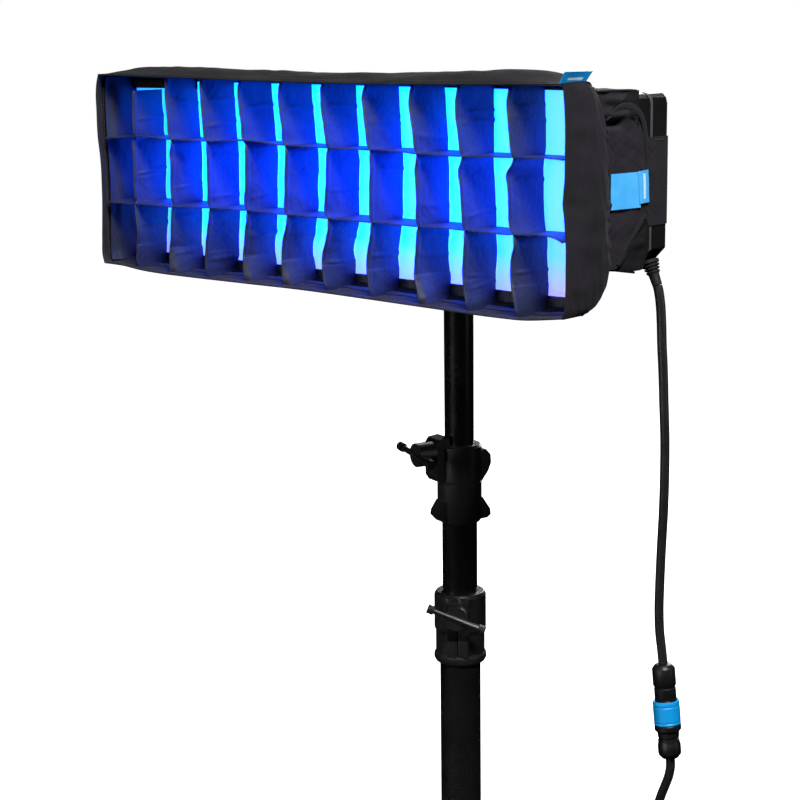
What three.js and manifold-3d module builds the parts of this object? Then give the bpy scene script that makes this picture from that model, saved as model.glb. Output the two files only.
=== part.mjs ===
// Strip softbox with a fabric egg-crate grid on a slim LED panel, tilting on a black three-section stand
// with a swivelling leg base, and its lead with an inline locking connector.
// Millimetres, +Z up, the light faces -Y.
// While it is built, the column's axis is x = 0, y = 0 and the floor z = 0.
import * as THREE from 'three';
import { mergeVertices } from 'three/addons/utils/BufferGeometryUtils.js';
import Module from 'manifold-3d';

const wasm = await Module();
wasm.setup();

// ---- driving dimensions ------------------------------------------------------------------------------

const GAP = 0.3; // clearance kept between pieces that touch

const BOX = { halfWidth: 250, low: 840, high: 1000, frontY: -173.5, rimDepth: 30, wall: 2.2, corner: 5 };
const GRID = {
  columns: 11,
  pitch: 45.85,
  centreX: -2.2,
  rowZs: [895, 948],
  frontY: -171.5,
  depth: 34,
  cloth: 1,
  slot: 1.8,
  taper: 5,
};
const HOOP = { thick: 2.2, width: 8 };
const GRID_INSET = BOX.wall + HOOP.thick + 2 * GAP;
GRID.halfWidth = BOX.halfWidth - GRID_INSET;
GRID.low = BOX.low + GRID_INSET;
GRID.high = BOX.high - GRID_INSET;
const DIFFUSER = { frontY: -137.2, thick: 1.2, halfWidth: 246.5, low: 850.6, high: 992.2 };
const PANEL = { halfWidth: 255, low: 868, high: 991, frontY: -97, seamY: -80, backY: -61, wall: 2.5 };
const SLEEVE = { startY: -119, low: 867, high: 993.5, ridgeY: -133 };
const EAR = { rootLow: 870, rootHigh: 970, tipLow: 890, tipHigh: 958, thick: 2, tuck: 40 };
const PIVOT = { z: 926, bolt: 3.8, lugInner: 13, lugOuter: 18, lugRadius: 12 };
const PIN = { radius: 7.9, top: 898, flangeTop: 851 };
const RECEIVER = { radius: 16, top: 904, knobZ: 878 };

const COLUMN = { outer: 17.5, inner: 15.3, low: 60, high: 552 };
const RISER_1 = { outer: 15, inner: 13, low: 150, high: 676 };
const RISER_2 = { outer: 12.5, inner: 10.5, low: 250, high: 846 };
const LOWER_COLLAR = { low: 498.5, ringTop: 507, waist: 526, high: 560.5, handleZ: 545 };
const UPPER_COLLAR = { low: 622.5, seam: 657.5, lobeTop: 682, high: 689.5, handleZ: 684 };
const HANDLE = { screw: 4, boss: 10.2, bar: 2.6, barLength: 46, end: 3.9 };
// The two clamp screws: direction about the column in degrees, where the boss starts, its length and bar's tilt.
const LOWER_HANDLE = { angle: -53.5, seat: 25.8, bossLength: 11, barTilt: -21 };
const UPPER_HANDLE = { angle: -106.4, seat: 27.5, bossLength: 15.5, barTilt: -8 };

const LEG = { hubOuter: 24, hubHeight: 36, tube: 11, bendR: 330, reach: 430, footRadius: 14, footLength: 46 };
const LEG_ANGLES = [175, 55, -65]; // degrees about the column; the first leg is fixed, the others swivel
const HUB_LOW = [134.6, 98.3, 62];

const LEAD = { radius: 3.5, sides: 8 };
const COIL = { x: 176, y: -22.8, inner: 30.6, outer: 45.4, height: 21.4 };

// ---- materials ---------------------------------------------------------------------------------------

const finish = (color, roughness, metalness) => new THREE.MeshStandardMaterial({ color, roughness, metalness });

const FINISH = {
  fabric: () => finish(0x2c292d, 0.85, 0),
  gridFabric: () => finish(0x17171d, 0.8, 0),
  diffusion: () => finish(0xe9edf5, 0.6, 0),
  label: () => finish(0x1a94d8, 0.5, 0),
  housing: () => finish(0x141416, 0.45, 0),
  acrylic: () => finish(0xf2f4fa, 0.3, 0),
  board: () => finish(0x1d5a34, 0.5, 0.1),
  spring: () => finish(0x8d9094, 0.35, 0.9),
  castMetal: () => finish(0x111114, 0.4, 0.3),
  tube: () => finish(0x0d0d10, 0.25, 0.5),
  zinc: () => finish(0xb9bcc0, 0.3, 0.9),
  rubber: () => finish(0x121213, 0.8, 0),
  leadJacket: () => finish(0x1d1d21, 0.5, 0),
};

// ---- shape helpers -----------------------------------------------------------------------------------

function solid(geometry) {
  const bare = geometry.clone();
  bare.deleteAttribute('normal');
  bare.deleteAttribute('uv');
  const merged = mergeVertices(bare, 1e-4);
  const vertProperties = new Float32Array(merged.attributes.position.array);
  const triVerts = new Uint32Array(merged.index.array);
  return new wasm.Manifold(new wasm.Mesh({ numProp: 3, vertProperties, triVerts }));
}

function geometryOf(body) {
  const mesh = body.getMesh();
  const geometry = new THREE.BufferGeometry();
  geometry.setAttribute('position', new THREE.BufferAttribute(new Float32Array(mesh.vertProperties), 3));
  geometry.setIndex(new THREE.BufferAttribute(new Uint32Array(mesh.triVerts), 1));
  return geometry;
}

function join(first, ...others) {
  return geometryOf(others.reduce((body, other) => body.add(solid(other)), solid(first)));
}

function cut(first, ...tools) {
  return geometryOf(tools.reduce((body, tool) => body.subtract(solid(tool)), solid(first)));
}

function overlap(first, second) {
  return geometryOf(solid(first).intersect(solid(second)));
}

function box(x0, x1, y0, y1, z0, z1) {
  const geometry = new THREE.BoxGeometry(x1 - x0, y1 - y0, z1 - z0);
  return geometry.translate((x0 + x1) / 2, (y0 + y1) / 2, (z0 + z1) / 2);
}

function outline(points) {
  return new THREE.Shape(points.map(([x, y]) => new THREE.Vector2(x, y)));
}

// A rectangle in the X-Z plane with its own radius at the upper and lower corners; one segment makes a chamfer.
function plate(halfWidth, low, high, topRadius, lowRadius = topRadius, topSteps = 4, lowSteps = 4) {
  const corners = [
    [halfWidth - lowRadius, low + lowRadius, -90, lowRadius, lowSteps],
    [halfWidth - topRadius, high - topRadius, 0, topRadius, topSteps],
    [topRadius - halfWidth, high - topRadius, 90, topRadius, topSteps],
    [lowRadius - halfWidth, low + lowRadius, 180, lowRadius, lowSteps],
  ];
  const points = corners.flatMap(([x, z, start, radius, steps]) =>
    Array.from({ length: steps + 1 }, (_, i) => {
      const angle = THREE.MathUtils.degToRad(start + (90 * i) / steps);
      return [x + radius * Math.cos(angle), z + radius * Math.sin(angle)];
    }),
  );
  return outline(points);
}

function extruded(shape, depth) {
  return new THREE.ExtrudeGeometry(shape, { depth, bevelEnabled: false, curveSegments: 8 });
}

// Outline in X-Y, raised from z0 to z1.
function alongZ(shape, z0, z1) {
  return extruded(shape, z1 - z0).translate(0, 0, z0);
}

// Outline in X-Z, drawn out from y0 to y1.
function alongY(shape, y0, y1) {
  return extruded(shape, y1 - y0).rotateX(Math.PI / 2).translate(0, y1, 0);
}

// Outline in Y-Z, drawn out from x0 to x1.
function alongX(shape, x0, x1) {
  const turn = new THREE.Matrix4().makeBasis(
    new THREE.Vector3(0, 1, 0),
    new THREE.Vector3(0, 0, 1),
    new THREE.Vector3(1, 0, 0),
  );
  return extruded(shape, x1 - x0).applyMatrix4(turn).translate(x0, 0, 0);
}

// A turned piece about Z. The profile is a list of [radius, z] going up the outside.
function turned(profile, sides = 24) {
  const points = profile.map(([radius, z]) => new THREE.Vector2(radius, z));
  return new THREE.LatheGeometry(points, sides).rotateX(Math.PI / 2);
}

function ring(outer, inner, low, high, sides = 24) {
  return turned([[inner, low], [outer, low], [outer, high], [inner, high], [inner, low]], sides);
}

function disc(radius, low, high, sides = 24) {
  return turned([[0, low], [radius, low], [radius, high], [0, high]], sides);
}

// Puts a piece made about +Z on the line from one point towards another.
function aimed(geometry, from, to) {
  const start = new THREE.Vector3(...from);
  const direction = new THREE.Vector3(...to).sub(start).normalize();
  const turn = new THREE.Quaternion().setFromUnitVectors(new THREE.Vector3(0, 0, 1), direction);
  return geometry.applyQuaternion(turn).translate(start.x, start.y, start.z);
}

function rod(from, to, radius, sides = 12) {
  const length = new THREE.Vector3(...to).distanceTo(new THREE.Vector3(...from));
  return aimed(disc(radius, 0, length, sides), from, to);
}

function swept(points, radius, sides, steps) {
  const path = new THREE.CatmullRomCurve3(points.map((p) => new THREE.Vector3(...p)), false, 'centripetal');
  const section = outline(
    Array.from({ length: sides }, (_, i) => {
      const angle = (2 * Math.PI * i) / sides;
      return [radius * Math.cos(angle), radius * Math.sin(angle)];
    }),
  );
  return new THREE.ExtrudeGeometry(section, { steps, extrudePath: path, bevelEnabled: false });
}

const parts = new THREE.Group();

function add(name, geometry, material) {
  const mesh = new THREE.Mesh(geometry, material);
  mesh.name = name;
  parts.add(mesh);
  return mesh;
}

// ---- softbox -----------------------------------------------------------------------------------------

const rimBackY = BOX.frontY + BOX.rimDepth;
const coneFrontY = rimBackY + GAP;
const coneBackY = PANEL.frontY - GAP;

function rimShell() {
  const shape = plate(BOX.halfWidth, BOX.low, BOX.high, BOX.corner);
  const inside = plate(BOX.halfWidth - BOX.wall, BOX.low + BOX.wall, BOX.high - BOX.wall, BOX.corner - BOX.wall);
  shape.holes.push(inside);
  return alongY(shape, BOX.frontY, rimBackY);
}

// The upper and lower walls close in quickly behind the rim, then run straight to the panel.
function coneWall(rimZ, sleeveZ, turnY, inward) {
  const shape = outline([
    [coneFrontY, rimZ],
    [turnY, sleeveZ],
    [coneBackY, sleeveZ],
    [coneBackY, sleeveZ + inward],
    [turnY, sleeveZ + inward],
    [coneFrontY, rimZ + inward],
  ]);
  const reach = BOX.halfWidth - BOX.wall - GAP;
  return alongX(shape, -reach, reach);
}

function endWall(side) {
  const shape = outline([
    [coneFrontY, BOX.low + 1],
    [SLEEVE.startY, SLEEVE.low + 1],
    [SLEEVE.startY, SLEEVE.high - 20],
    [SLEEVE.ridgeY, SLEEVE.high - 1],
    [coneFrontY, BOX.high - 1],
  ]);
  const inner = BOX.halfWidth - BOX.wall;
  return side > 0 ? alongX(shape, inner, BOX.halfWidth) : alongX(shape, -BOX.halfWidth, -inner);
}

// A fabric tongue from the end wall, over the panel's end and tucked behind its back edge.
function ear(side) {
  const inner = PANEL.halfWidth + GAP;
  const outer = inner + EAR.thick;
  const rootX = BOX.halfWidth - BOX.wall;
  const back = PANEL.backY + GAP;
  const tuckX = PANEL.halfWidth - EAR.tuck;
  const plan = outline(
    [
      [rootX, SLEEVE.startY + GAP],
      [rootX + EAR.thick, SLEEVE.startY + GAP],
      [outer, PANEL.frontY],
      [outer, back + EAR.thick],
      [tuckX, back + EAR.thick],
      [tuckX, back],
      [inner, back],
      [inner, PANEL.frontY],
    ].map(([x, y]) => [side * x, y]),
  );
  const face = outline([
    [SLEEVE.startY, EAR.rootLow],
    [PANEL.seamY, EAR.tipLow],
    [back + 2 * EAR.thick, EAR.tipLow],
    [back + 2 * EAR.thick, EAR.tipHigh],
    [PANEL.seamY, EAR.tipHigh],
    [SLEEVE.startY, EAR.rootHigh],
  ]);
  const reach = PANEL.halfWidth + 2 * EAR.thick;
  return overlap(alongZ(plan, EAR.rootLow, EAR.rootHigh), alongX(face, -reach, reach));
}

const gridBackY = GRID.frontY + GRID.depth;
const gridMiddleY = (GRID.frontY + gridBackY) / 2;
const firstX = GRID.centreX - (GRID.pitch * (GRID.columns - 2)) / 2;
const dividerXs = Array.from({ length: GRID.columns - 1 }, (_, i) => firstX + GRID.pitch * i);

// Upright strips are slotted from the back and the rows from the front, so they cross through each other.
function uprightStrip(x) {
  const half = GRID.slot / 2;
  const back = gridBackY + 1;
  const slots = GRID.rowZs.map((z) => box(x - 2, x + 2, gridMiddleY, back, z - half, z + half));
  const shape = outline([
    [GRID.frontY, GRID.low],
    [rimBackY, GRID.low],
    [gridBackY, GRID.low + GRID.taper],
    [gridBackY, GRID.high - GRID.taper],
    [rimBackY, GRID.high],
    [GRID.frontY, GRID.high],
  ]);
  return cut(alongX(shape, x - GRID.cloth / 2, x + GRID.cloth / 2), ...slots);
}

function rowStrip(z) {
  const front = GRID.frontY - 1;
  const slots = dividerXs.map((x) =>
    box(x - GRID.slot / 2, x + GRID.slot / 2, front, gridMiddleY + GAP, z - 2, z + 2),
  );
  const half = GRID.cloth / 2;
  const strip = box(-GRID.halfWidth, GRID.halfWidth, GRID.frontY, gridBackY, z - half, z + half);
  return cut(strip, ...slots);
}

// A flat spring hoop in the seam inside the rim keeps its outline stiff.
function rimHoop() {
  const inset = BOX.wall + GAP;
  const outer = plate(BOX.halfWidth - inset, BOX.low + inset, BOX.high - inset, 4);
  const inner = inset + HOOP.thick;
  outer.holes.push(plate(BOX.halfWidth - inner, BOX.low + inner, BOX.high - inner, 2));
  return alongY(outer, rimBackY - HOOP.width, rimBackY);
}

add('rim_shell', rimShell(), FINISH.fabric());
add('top_wall', coneWall(BOX.high - 3.4, SLEEVE.high - 2.2, SLEEVE.ridgeY, 2.2), FINISH.fabric());
add('bottom_wall', coneWall(BOX.low + 3.4, SLEEVE.low - 2.6, SLEEVE.startY, -2.2), FINISH.fabric());
add('end_wall_left', endWall(-1), FINISH.fabric());
add('end_wall_right', endWall(1), FINISH.fabric());
add('ear_left', ear(-1), FINISH.fabric());
add('ear_right', ear(1), FINISH.fabric());
add('rim_hoop', rimHoop(), FINISH.spring());
dividerXs.forEach((x, i) => add(`grid_upright_${i + 1}`, uprightStrip(x), FINISH.gridFabric()));
GRID.rowZs.forEach((z, i) => add(`grid_row_${i + 1}`, rowStrip(z), FINISH.gridFabric()));
add(
  'front_diffuser',
  box(
    -DIFFUSER.halfWidth,
    DIFFUSER.halfWidth,
    DIFFUSER.frontY,
    DIFFUSER.frontY + DIFFUSER.thick,
    DIFFUSER.low,
    DIFFUSER.high,
  ),
  FINISH.diffusion(),
);

// ---- sewn labels -------------------------------------------------------------------------------------

const LABEL = { thick: 0.8 };
const LABEL_TOP = { x: 246.6, y0: -172.5, y1: -145, rise: 9 };
const LABEL_EAR = { y0: -119, y1: -86, z0: 911, z1: 936 };

// The end label lies on the ear, in line with its slope.
function earLabel() {
  const slope = (PANEL.halfWidth + GAP - BOX.halfWidth + BOX.wall) / (PANEL.frontY - SLEEVE.startY - GAP);
  const surfaceX = (y) => BOX.halfWidth - BOX.wall + EAR.thick + slope * (y - SLEEVE.startY - GAP);
  const outer = PANEL.halfWidth + GAP + EAR.thick;
  const plan = outline([
    [surfaceX(LABEL_EAR.y0) + GAP, LABEL_EAR.y0],
    [surfaceX(LABEL_EAR.y0) + GAP + LABEL.thick, LABEL_EAR.y0],
    [outer + GAP + LABEL.thick, PANEL.frontY],
    [outer + GAP + LABEL.thick, LABEL_EAR.y1],
    [outer + GAP, LABEL_EAR.y1],
    [outer + GAP, PANEL.frontY],
  ]);
  return alongZ(plan, LABEL_EAR.z0, LABEL_EAR.z1);
}

// The upper tab stands out of the seam along the top of the right end.
add(
  'label_top',
  box(
    LABEL_TOP.x,
    LABEL_TOP.x + LABEL.thick,
    LABEL_TOP.y0,
    LABEL_TOP.y1,
    BOX.high + GAP,
    BOX.high + LABEL_TOP.rise,
  ),
  FINISH.label(),
);
add('label_end', earLabel(), FINISH.label());

// ---- LED panel ---------------------------------------------------------------------------------------

const CHAMFER = 12;
const CORNER = 8;
const FRAME_INSET = 8;

function panelOutline(inset) {
  return plate(
    PANEL.halfWidth - inset,
    PANEL.low + inset,
    PANEL.high - inset,
    CORNER - inset / 2,
    CHAMFER - inset / 2,
    3,
    1,
  );
}

function panelFrame() {
  const shape = panelOutline(0);
  shape.holes.push(panelOutline(FRAME_INSET));
  return alongY(shape, PANEL.frontY, PANEL.seamY - GAP);
}

// A tray, open towards the light guide.
function rearHousing() {
  const shell = alongY(panelOutline(0), PANEL.seamY, PANEL.backY);
  return cut(shell, alongY(panelOutline(PANEL.wall), PANEL.seamY - 1, PANEL.backY - PANEL.wall));
}

const boardOutline = panelOutline(FRAME_INSET + 1);
add('panel_frame', panelFrame(), FINISH.housing());
add('rear_housing', rearHousing(), FINISH.housing());
add('light_guide', alongY(boardOutline, -92, -89), FINISH.acrylic());
add('led_board', alongY(boardOutline, -86, -84.4), FINISH.board());
add('driver_board', box(-90, 90, -73, -71.4, 885, 945), FINISH.board());

// ---- lead outlet -------------------------------------------------------------------------------------

// A ribbed cone that ends in a slim sleeve round the lead.
const GLAND = {
  start: [248.9, -74, 874.2],
  end: [257.6, -74, 854],
  root: 6.8,
  cone: 12.6,
  tip: 5,
  sleeve: 4.2,
};

// The strain relief stands on the chamfer at the panel's lower right corner.
function gland() {
  const length = new THREE.Vector3(...GLAND.start).distanceTo(new THREE.Vector3(...GLAND.end));
  const { root, cone: coneEnd, tip, sleeve } = GLAND;
  const profile = [
    [0, -4],
    [root, -4],
    [root, 4],
    [tip, coneEnd],
    [sleeve, coneEnd + 1],
    [sleeve, length],
    [0, length],
  ];
  const cone = turned(profile, 16);
  const clearance = outline([
    [PANEL.halfWidth + 30, PANEL.low + CHAMFER + 30 - GAP],
    [PANEL.halfWidth - 30 - CHAMFER, PANEL.low - 30 - GAP],
    [PANEL.halfWidth - 30 - CHAMFER, PANEL.low + CHAMFER + 30],
  ]);
  return cut(aimed(cone, GLAND.start, GLAND.end), alongY(clearance, PANEL.seamY - 10, PANEL.backY + 10));
}

add('lead_gland', gland(), FINISH.rubber());

// ---- tilt bracket ------------------------------------------------------------------------------------

const yokeFrontY = PANEL.backY + GAP;

function tiltYoke() {
  const back = box(-34, 34, yokeFrontY, yokeFrontY + 4, PIVOT.z - 28, PIVOT.z + 28);
  const side = outline([
    [yokeFrontY + 3, PIVOT.z - 22],
    [-20, PIVOT.z - PIVOT.lugRadius],
    [0, PIVOT.z - PIVOT.lugRadius],
    [PIVOT.lugRadius * 0.87, PIVOT.z - PIVOT.lugRadius / 2],
    [PIVOT.lugRadius, PIVOT.z],
    [PIVOT.lugRadius * 0.87, PIVOT.z + PIVOT.lugRadius / 2],
    [0, PIVOT.z + PIVOT.lugRadius],
    [-20, PIVOT.z + PIVOT.lugRadius],
    [yokeFrontY + 3, PIVOT.z + 22],
  ]);
  const thick = PIVOT.lugOuter - PIVOT.lugInner;
  const lugs = [-PIVOT.lugOuter, PIVOT.lugInner].map((x) => alongX(side, x, x + thick));
  const hole = rod([-30, 0, PIVOT.z], [30, 0, PIVOT.z], PIVOT.bolt + GAP, 16);
  return cut(join(back, ...lugs), hole);
}

function receiver() {
  const neckX = PIVOT.lugInner - GAP;
  const sleeve = disc(RECEIVER.radius, PIN.flangeTop + GAP, RECEIVER.top, 32);
  const neck = box(-neckX, neckX, -10, 10, RECEIVER.top - 6, PIVOT.z);
  const head = rod([-neckX, 0, PIVOT.z], [neckX, 0, PIVOT.z], PIVOT.lugRadius - 1, 20);
  const bore = disc(PIN.radius + GAP, PIN.flangeTop - 1, PIN.top + GAP, 32);
  const hole = rod([-30, 0, PIVOT.z], [30, 0, PIVOT.z], PIVOT.bolt + GAP, 16);
  const screwHole = rod([0, 0, RECEIVER.knobZ], [0, 30, RECEIVER.knobZ], 3.3, 12);
  return cut(join(sleeve, neck, head), bore, hole, screwHole);
}

function receiverKnob() {
  const reach = RECEIVER.radius;
  const shaftStart = [0, PIN.radius + GAP, RECEIVER.knobZ];
  const shaft = rod(shaftStart, [0, reach + 8, RECEIVER.knobZ], 3, 12);
  const grip = rod([0, reach + 5, RECEIVER.knobZ], [0, reach + 18, RECEIVER.knobZ], 13, 16);
  return join(shaft, grip);
}

function tiltBolt() {
  const shaft = rod([-24, 0, PIVOT.z], [PIVOT.lugOuter + 3, 0, PIVOT.z], PIVOT.bolt, 12);
  const head = rod([-24, 0, PIVOT.z], [-PIVOT.lugOuter - GAP, 0, PIVOT.z], 7, 6);
  return join(head, shaft);
}

function tiltLever() {
  const start = PIVOT.lugOuter + GAP;
  const hub = rod([start, 0, PIVOT.z], [start + 14, 0, PIVOT.z], 9, 16);
  const bore = rod([start - 1, 0, PIVOT.z], [PIVOT.lugOuter + 3 + GAP, 0, PIVOT.z], PIVOT.bolt + GAP, 12);
  const arm = rod([start + 9, 0, PIVOT.z], [start + 14, 38, PIVOT.z + 20], 4, 10);
  const end = new THREE.SphereGeometry(6, 12, 8).translate(start + 14, 38, PIVOT.z + 20);
  return cut(join(hub, arm, end), bore);
}

add('tilt_yoke', tiltYoke(), FINISH.castMetal());
add('receiver', receiver(), FINISH.castMetal());
add('receiver_knob', receiverKnob(), FINISH.rubber());
add('tilt_bolt', tiltBolt(), FINISH.zinc());
add('tilt_lever', tiltLever(), FINISH.castMetal());

// ---- stand column ------------------------------------------------------------------------------------

function about(geometry, degrees) {
  return geometry.rotateZ(THREE.MathUtils.degToRad(degrees));
}

function screwHole(z, angle) {
  return about(rod([0, 0, z], [60, 0, z], HANDLE.screw + GAP, 12), angle);
}

function tube({ outer, inner, low, high }) {
  return ring(outer, inner, low, high, 32);
}

function lowerCollar() {
  const { low, ringTop, waist, high, handleZ } = LOWER_COLLAR;
  const bore = COLUMN.outer + GAP;
  const lip = COLUMN.high + GAP;
  const body = turned(
    [
      [bore, low],
      [21, low],
      [22.6, low + 3],
      [22.6, ringTop - 2],
      [21.1, ringTop],
      [21.1, waist],
      [22.3, waist + 2],
      [22.3, high - 3],
      [20.5, high],
      [RISER_1.outer + GAP, high],
      [RISER_1.outer + GAP, lip],
      [bore, lip],
      [bore, low],
    ],
    32,
  );
  const boss = about(rod([19, 0, handleZ], [25.5, 0, handleZ], HANDLE.boss, 20), LOWER_HANDLE.angle);
  return cut(join(body, boss), screwHole(handleZ, LOWER_HANDLE.angle), disc(bore, low - 1, lip, 32));
}

// Outline of the lobes and clamp ear in the plane through the column, u away from the clamp screw.
function upperCollarLobes() {
  const { low, lobeTop } = UPPER_COLLAR;
  const right = outline([
    [8, lobeTop - 1],
    [22, lobeTop + 1],
    [26.5, lobeTop - 4],
    [27, lobeTop - 11],
    [24, lobeTop - 18],
    [17, lobeTop - 27],
    [8, lobeTop - 27],
  ]);
  const rightFoot = outline([
    [8, low + 22],
    [18.5, low + 19],
    [26, low + 8],
    [26.5, low + 3],
    [23, low + 0.5],
    [8, low],
  ]);
  const leftFoot = outline([
    [-8, low + 20],
    [-18.5, low + 19],
    [-24, low + 11],
    [-24.5, low + 7],
    [-19, low + 1],
    [-8, low],
  ]);
  const ear = outline([
    [-14, lobeTop + 15],
    [-23.5, lobeTop + 14],
    [-26.5, lobeTop + 10],
    [-26.5, lobeTop - 18],
    [-23, lobeTop - 23],
    [-14, lobeTop - 25],
  ]);
  const lobes = [right, rightFoot, leftFoot].map((shape) => extruded(shape, 16).translate(0, 0, -8));
  const plateEar = extruded(ear, 19).translate(0, 0, -12);
  return [...lobes, plateEar].map((lobe) => about(lobe.rotateX(Math.PI / 2), UPPER_HANDLE.angle + 180));
}

function upperCollar() {
  const { low, seam, high, handleZ } = UPPER_COLLAR;
  const bore = RISER_1.outer + GAP;
  const lip = RISER_1.high + GAP;
  const body = turned(
    [
      [bore, low],
      [17.5, low],
      [19, low + 3],
      [19, seam - 1],
      [18.4, seam],
      [19, seam + 1],
      [19.2, high - 2],
      [17.5, high],
      [RISER_2.outer + GAP, high],
      [RISER_2.outer + GAP, lip],
      [bore, lip],
      [bore, low],
    ],
    32,
  );
  const tubeSpace = disc(bore, low - 1, lip, 32);
  const riserSpace = disc(RISER_2.outer + GAP, low, high + 30, 32);
  const casting = join(body, ...upperCollarLobes());
  return cut(casting, tubeSpace, riserSpace, screwHole(handleZ, UPPER_HANDLE.angle));
}

// A screw with a round boss and a short bar let half into its end, made about +X.
function handle(tip, z, { angle, seat, bossLength, barTilt }) {
  const screw = rod([tip, 0, 0], [seat + 4, 0, 0], HANDLE.screw, 12);
  const boss = rod([seat, 0, 0], [seat + bossLength, 0, 0], HANDLE.boss, 20);
  const barX = seat + bossLength;
  const half = HANDLE.barLength / 2;
  const bar = rod([barX, -half, 0], [barX, half, 0], HANDLE.bar, 10);
  const ends = [-half, half].map((y) => rod([barX, y - 3, 0], [barX, y + 3, 0], HANDLE.end, 12));
  const whole = join(screw, boss, bar, ...ends);
  return about(whole.rotateX(THREE.MathUtils.degToRad(barTilt)).translate(0, 0, z), angle);
}

// A closed plug in the top of the upper riser, with the pin that lamps are put on.
function babyPin() {
  const { radius, top, flangeTop } = PIN;
  const spigot = RISER_2.inner - GAP;
  return turned(
    [
      [0, RISER_2.high - 20],
      [spigot, RISER_2.high - 20],
      [spigot, RISER_2.high + GAP],
      [RISER_2.outer, RISER_2.high + GAP],
      [RISER_2.outer, flangeTop],
      [radius, flangeTop],
      [radius, flangeTop + 18],
      [radius - 1.6, flangeTop + 20],
      [radius - 1.6, flangeTop + 30],
      [radius, flangeTop + 32],
      [radius, top - 2],
      [radius - 2, top],
      [0, top],
    ],
    24,
  );
}

const columnHole = screwHole(LOWER_COLLAR.handleZ, LOWER_HANDLE.angle);
add('base_column', cut(tube(COLUMN), columnHole), FINISH.tube());
add('riser_1', tube(RISER_1), FINISH.tube());
add('riser_2', tube(RISER_2), FINISH.tube());
add('baby_pin', babyPin(), FINISH.zinc());
add('lower_collar', lowerCollar(), FINISH.castMetal());
add('upper_collar', upperCollar(), FINISH.castMetal());
add('lower_handle', handle(RISER_1.outer + GAP, LOWER_COLLAR.handleZ, LOWER_HANDLE), FINISH.castMetal());
add('upper_handle', handle(RISER_2.outer + GAP, UPPER_COLLAR.handleZ, UPPER_HANDLE), FINISH.castMetal());

// ---- leg base ----------------------------------------------------------------------------------------

// The leg leaves its hub level, bends down to the floor and ends level in a rubber foot.
function leg(hubLow) {
  const middle = hubLow + LEG.hubHeight / 2;
  const hub = ring(LEG.hubOuter, COLUMN.outer + GAP, hubLow, hubLow + LEG.hubHeight, 32);
  const footZ = LEG.footRadius;
  const drop = (middle - footZ) / (LEG.bendR - 60);
  const route = [
    [21, 0, middle],
    [40, 0, middle],
    [60, 0, middle - 3],
    [90, 0, middle - 30 * drop],
    [LEG.bendR - 30, 0, footZ + 30 * drop],
    [LEG.bendR, 0, footZ + 3],
    [LEG.bendR + 25, 0, footZ],
    [LEG.reach, 0, footZ],
  ];
  return join(hub, swept(route, LEG.tube, 12, 24));
}

function foot() {
  const end = LEG.reach + 4;
  const start = end - LEG.footLength;
  const sides = 12;
  const apothem = Math.cos(Math.PI / sides);
  const shell = disc(LEG.footRadius / apothem, 0, LEG.footLength, sides).rotateZ(Math.PI / sides);
  const socket = disc((LEG.tube + GAP) / apothem, -1, LEG.footLength - 4 + GAP, sides);
  return cut(shell, socket).rotateY(Math.PI / 2).translate(start, 0, LEG.footRadius);
}

LEG_ANGLES.forEach((angle, i) => {
  add(`leg_${i + 1}`, about(leg(HUB_LOW[i]), angle), FINISH.tube());
  add(`foot_${i + 1}`, about(foot(), angle), FINISH.rubber());
});

function basePlug() {
  const { inner, low } = COLUMN;
  return turned(
    [
      [0, low - 6],
      [LEG.hubOuter - 2, low - 6],
      [LEG.hubOuter, low - 4],
      [LEG.hubOuter, low - GAP],
      [inner - GAP, low - GAP],
      [inner - GAP, low + 20],
      [0, low + 20],
    ],
    32,
  );
}

const hubCollarLow = HUB_LOW[0] + LEG.hubHeight + GAP;
add('base_plug', basePlug(), FINISH.castMetal());
add('hub_collar', ring(LEG.hubOuter, COLUMN.outer + GAP, hubCollarLow, hubCollarLow + 10, 32), FINISH.castMetal());

// ---- lead --------------------------------------------------------------------------------------------

const CONNECTOR = {
  top: [267.6, -74, 572.3],
  end: [275.4, -74, 501],
  body: 8.6,
  ring: 10,
  nose: 8.2,
  ringBore: 8.5,
};

// The first stretch below the strain relief turns with the head.
const STUB_ROUTE = [
  [257.75, -74, 853.65],
  [258.6, -74, 851],
  [259.5, -74, 847],
  [260.5, -74, 841],
  [261.6, -74, 828],
  [262.3, -74, 812.4],
];

// From there down to the inline connector.
const UPPER_ROUTE = [
  [262.33, -74, 812],
  [263.6, -74, 794],
  [264.9, -74, 768],
  [266.2, -74, 742],
  [266.4, -74, 716],
  [265.9, -74, 690],
  [264.5, -74, 660],
  [263.5, -74, 632],
  [263.3, -74, 610],
  [264.4, -74, 594],
  [266, -74, 584],
  [267.55, -74, 572.8],
];

// From the inline connector to the floor and along it to the coil.
const LOWER_ROUTE = [
  [275.46, -74, 500.5],
  [275.8, -74, 495],
  [274.5, -74, 487],
  [271.6, -74, 479],
  [268, -74, 470],
  [263, -74, 454],
  [258.5, -73, 430],
  [255, -72, 398],
  [253, -71, 358],
  [251, -70, 312],
  [250, -69, 264],
  [249, -68, 216],
  [249, -67, 168],
  [249, -65, 120],
  [248, -61, 78],
  [245.5, -56, 46],
  [241, -49, 22],
  [234.5, -39, 7.5],
  [229.5, -32, 3.8],
  [224.8, -24.2, 3.7],
];

function turnedAlong(profile, from, to, sides) {
  return aimed(turned(profile, sides), from, to);
}

function connectorSocket() {
  const { body, nose, top, end } = CONNECTOR;
  const profile = [
    [0, 0],
    [6.4, 0],
    [body, 3],
    [body, 16],
    [8, 18],
    [8, 27],
    [nose, 27],
    [nose, 44],
    [0, 44],
  ];
  return turnedAlong(profile, top, end, 24);
}

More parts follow.
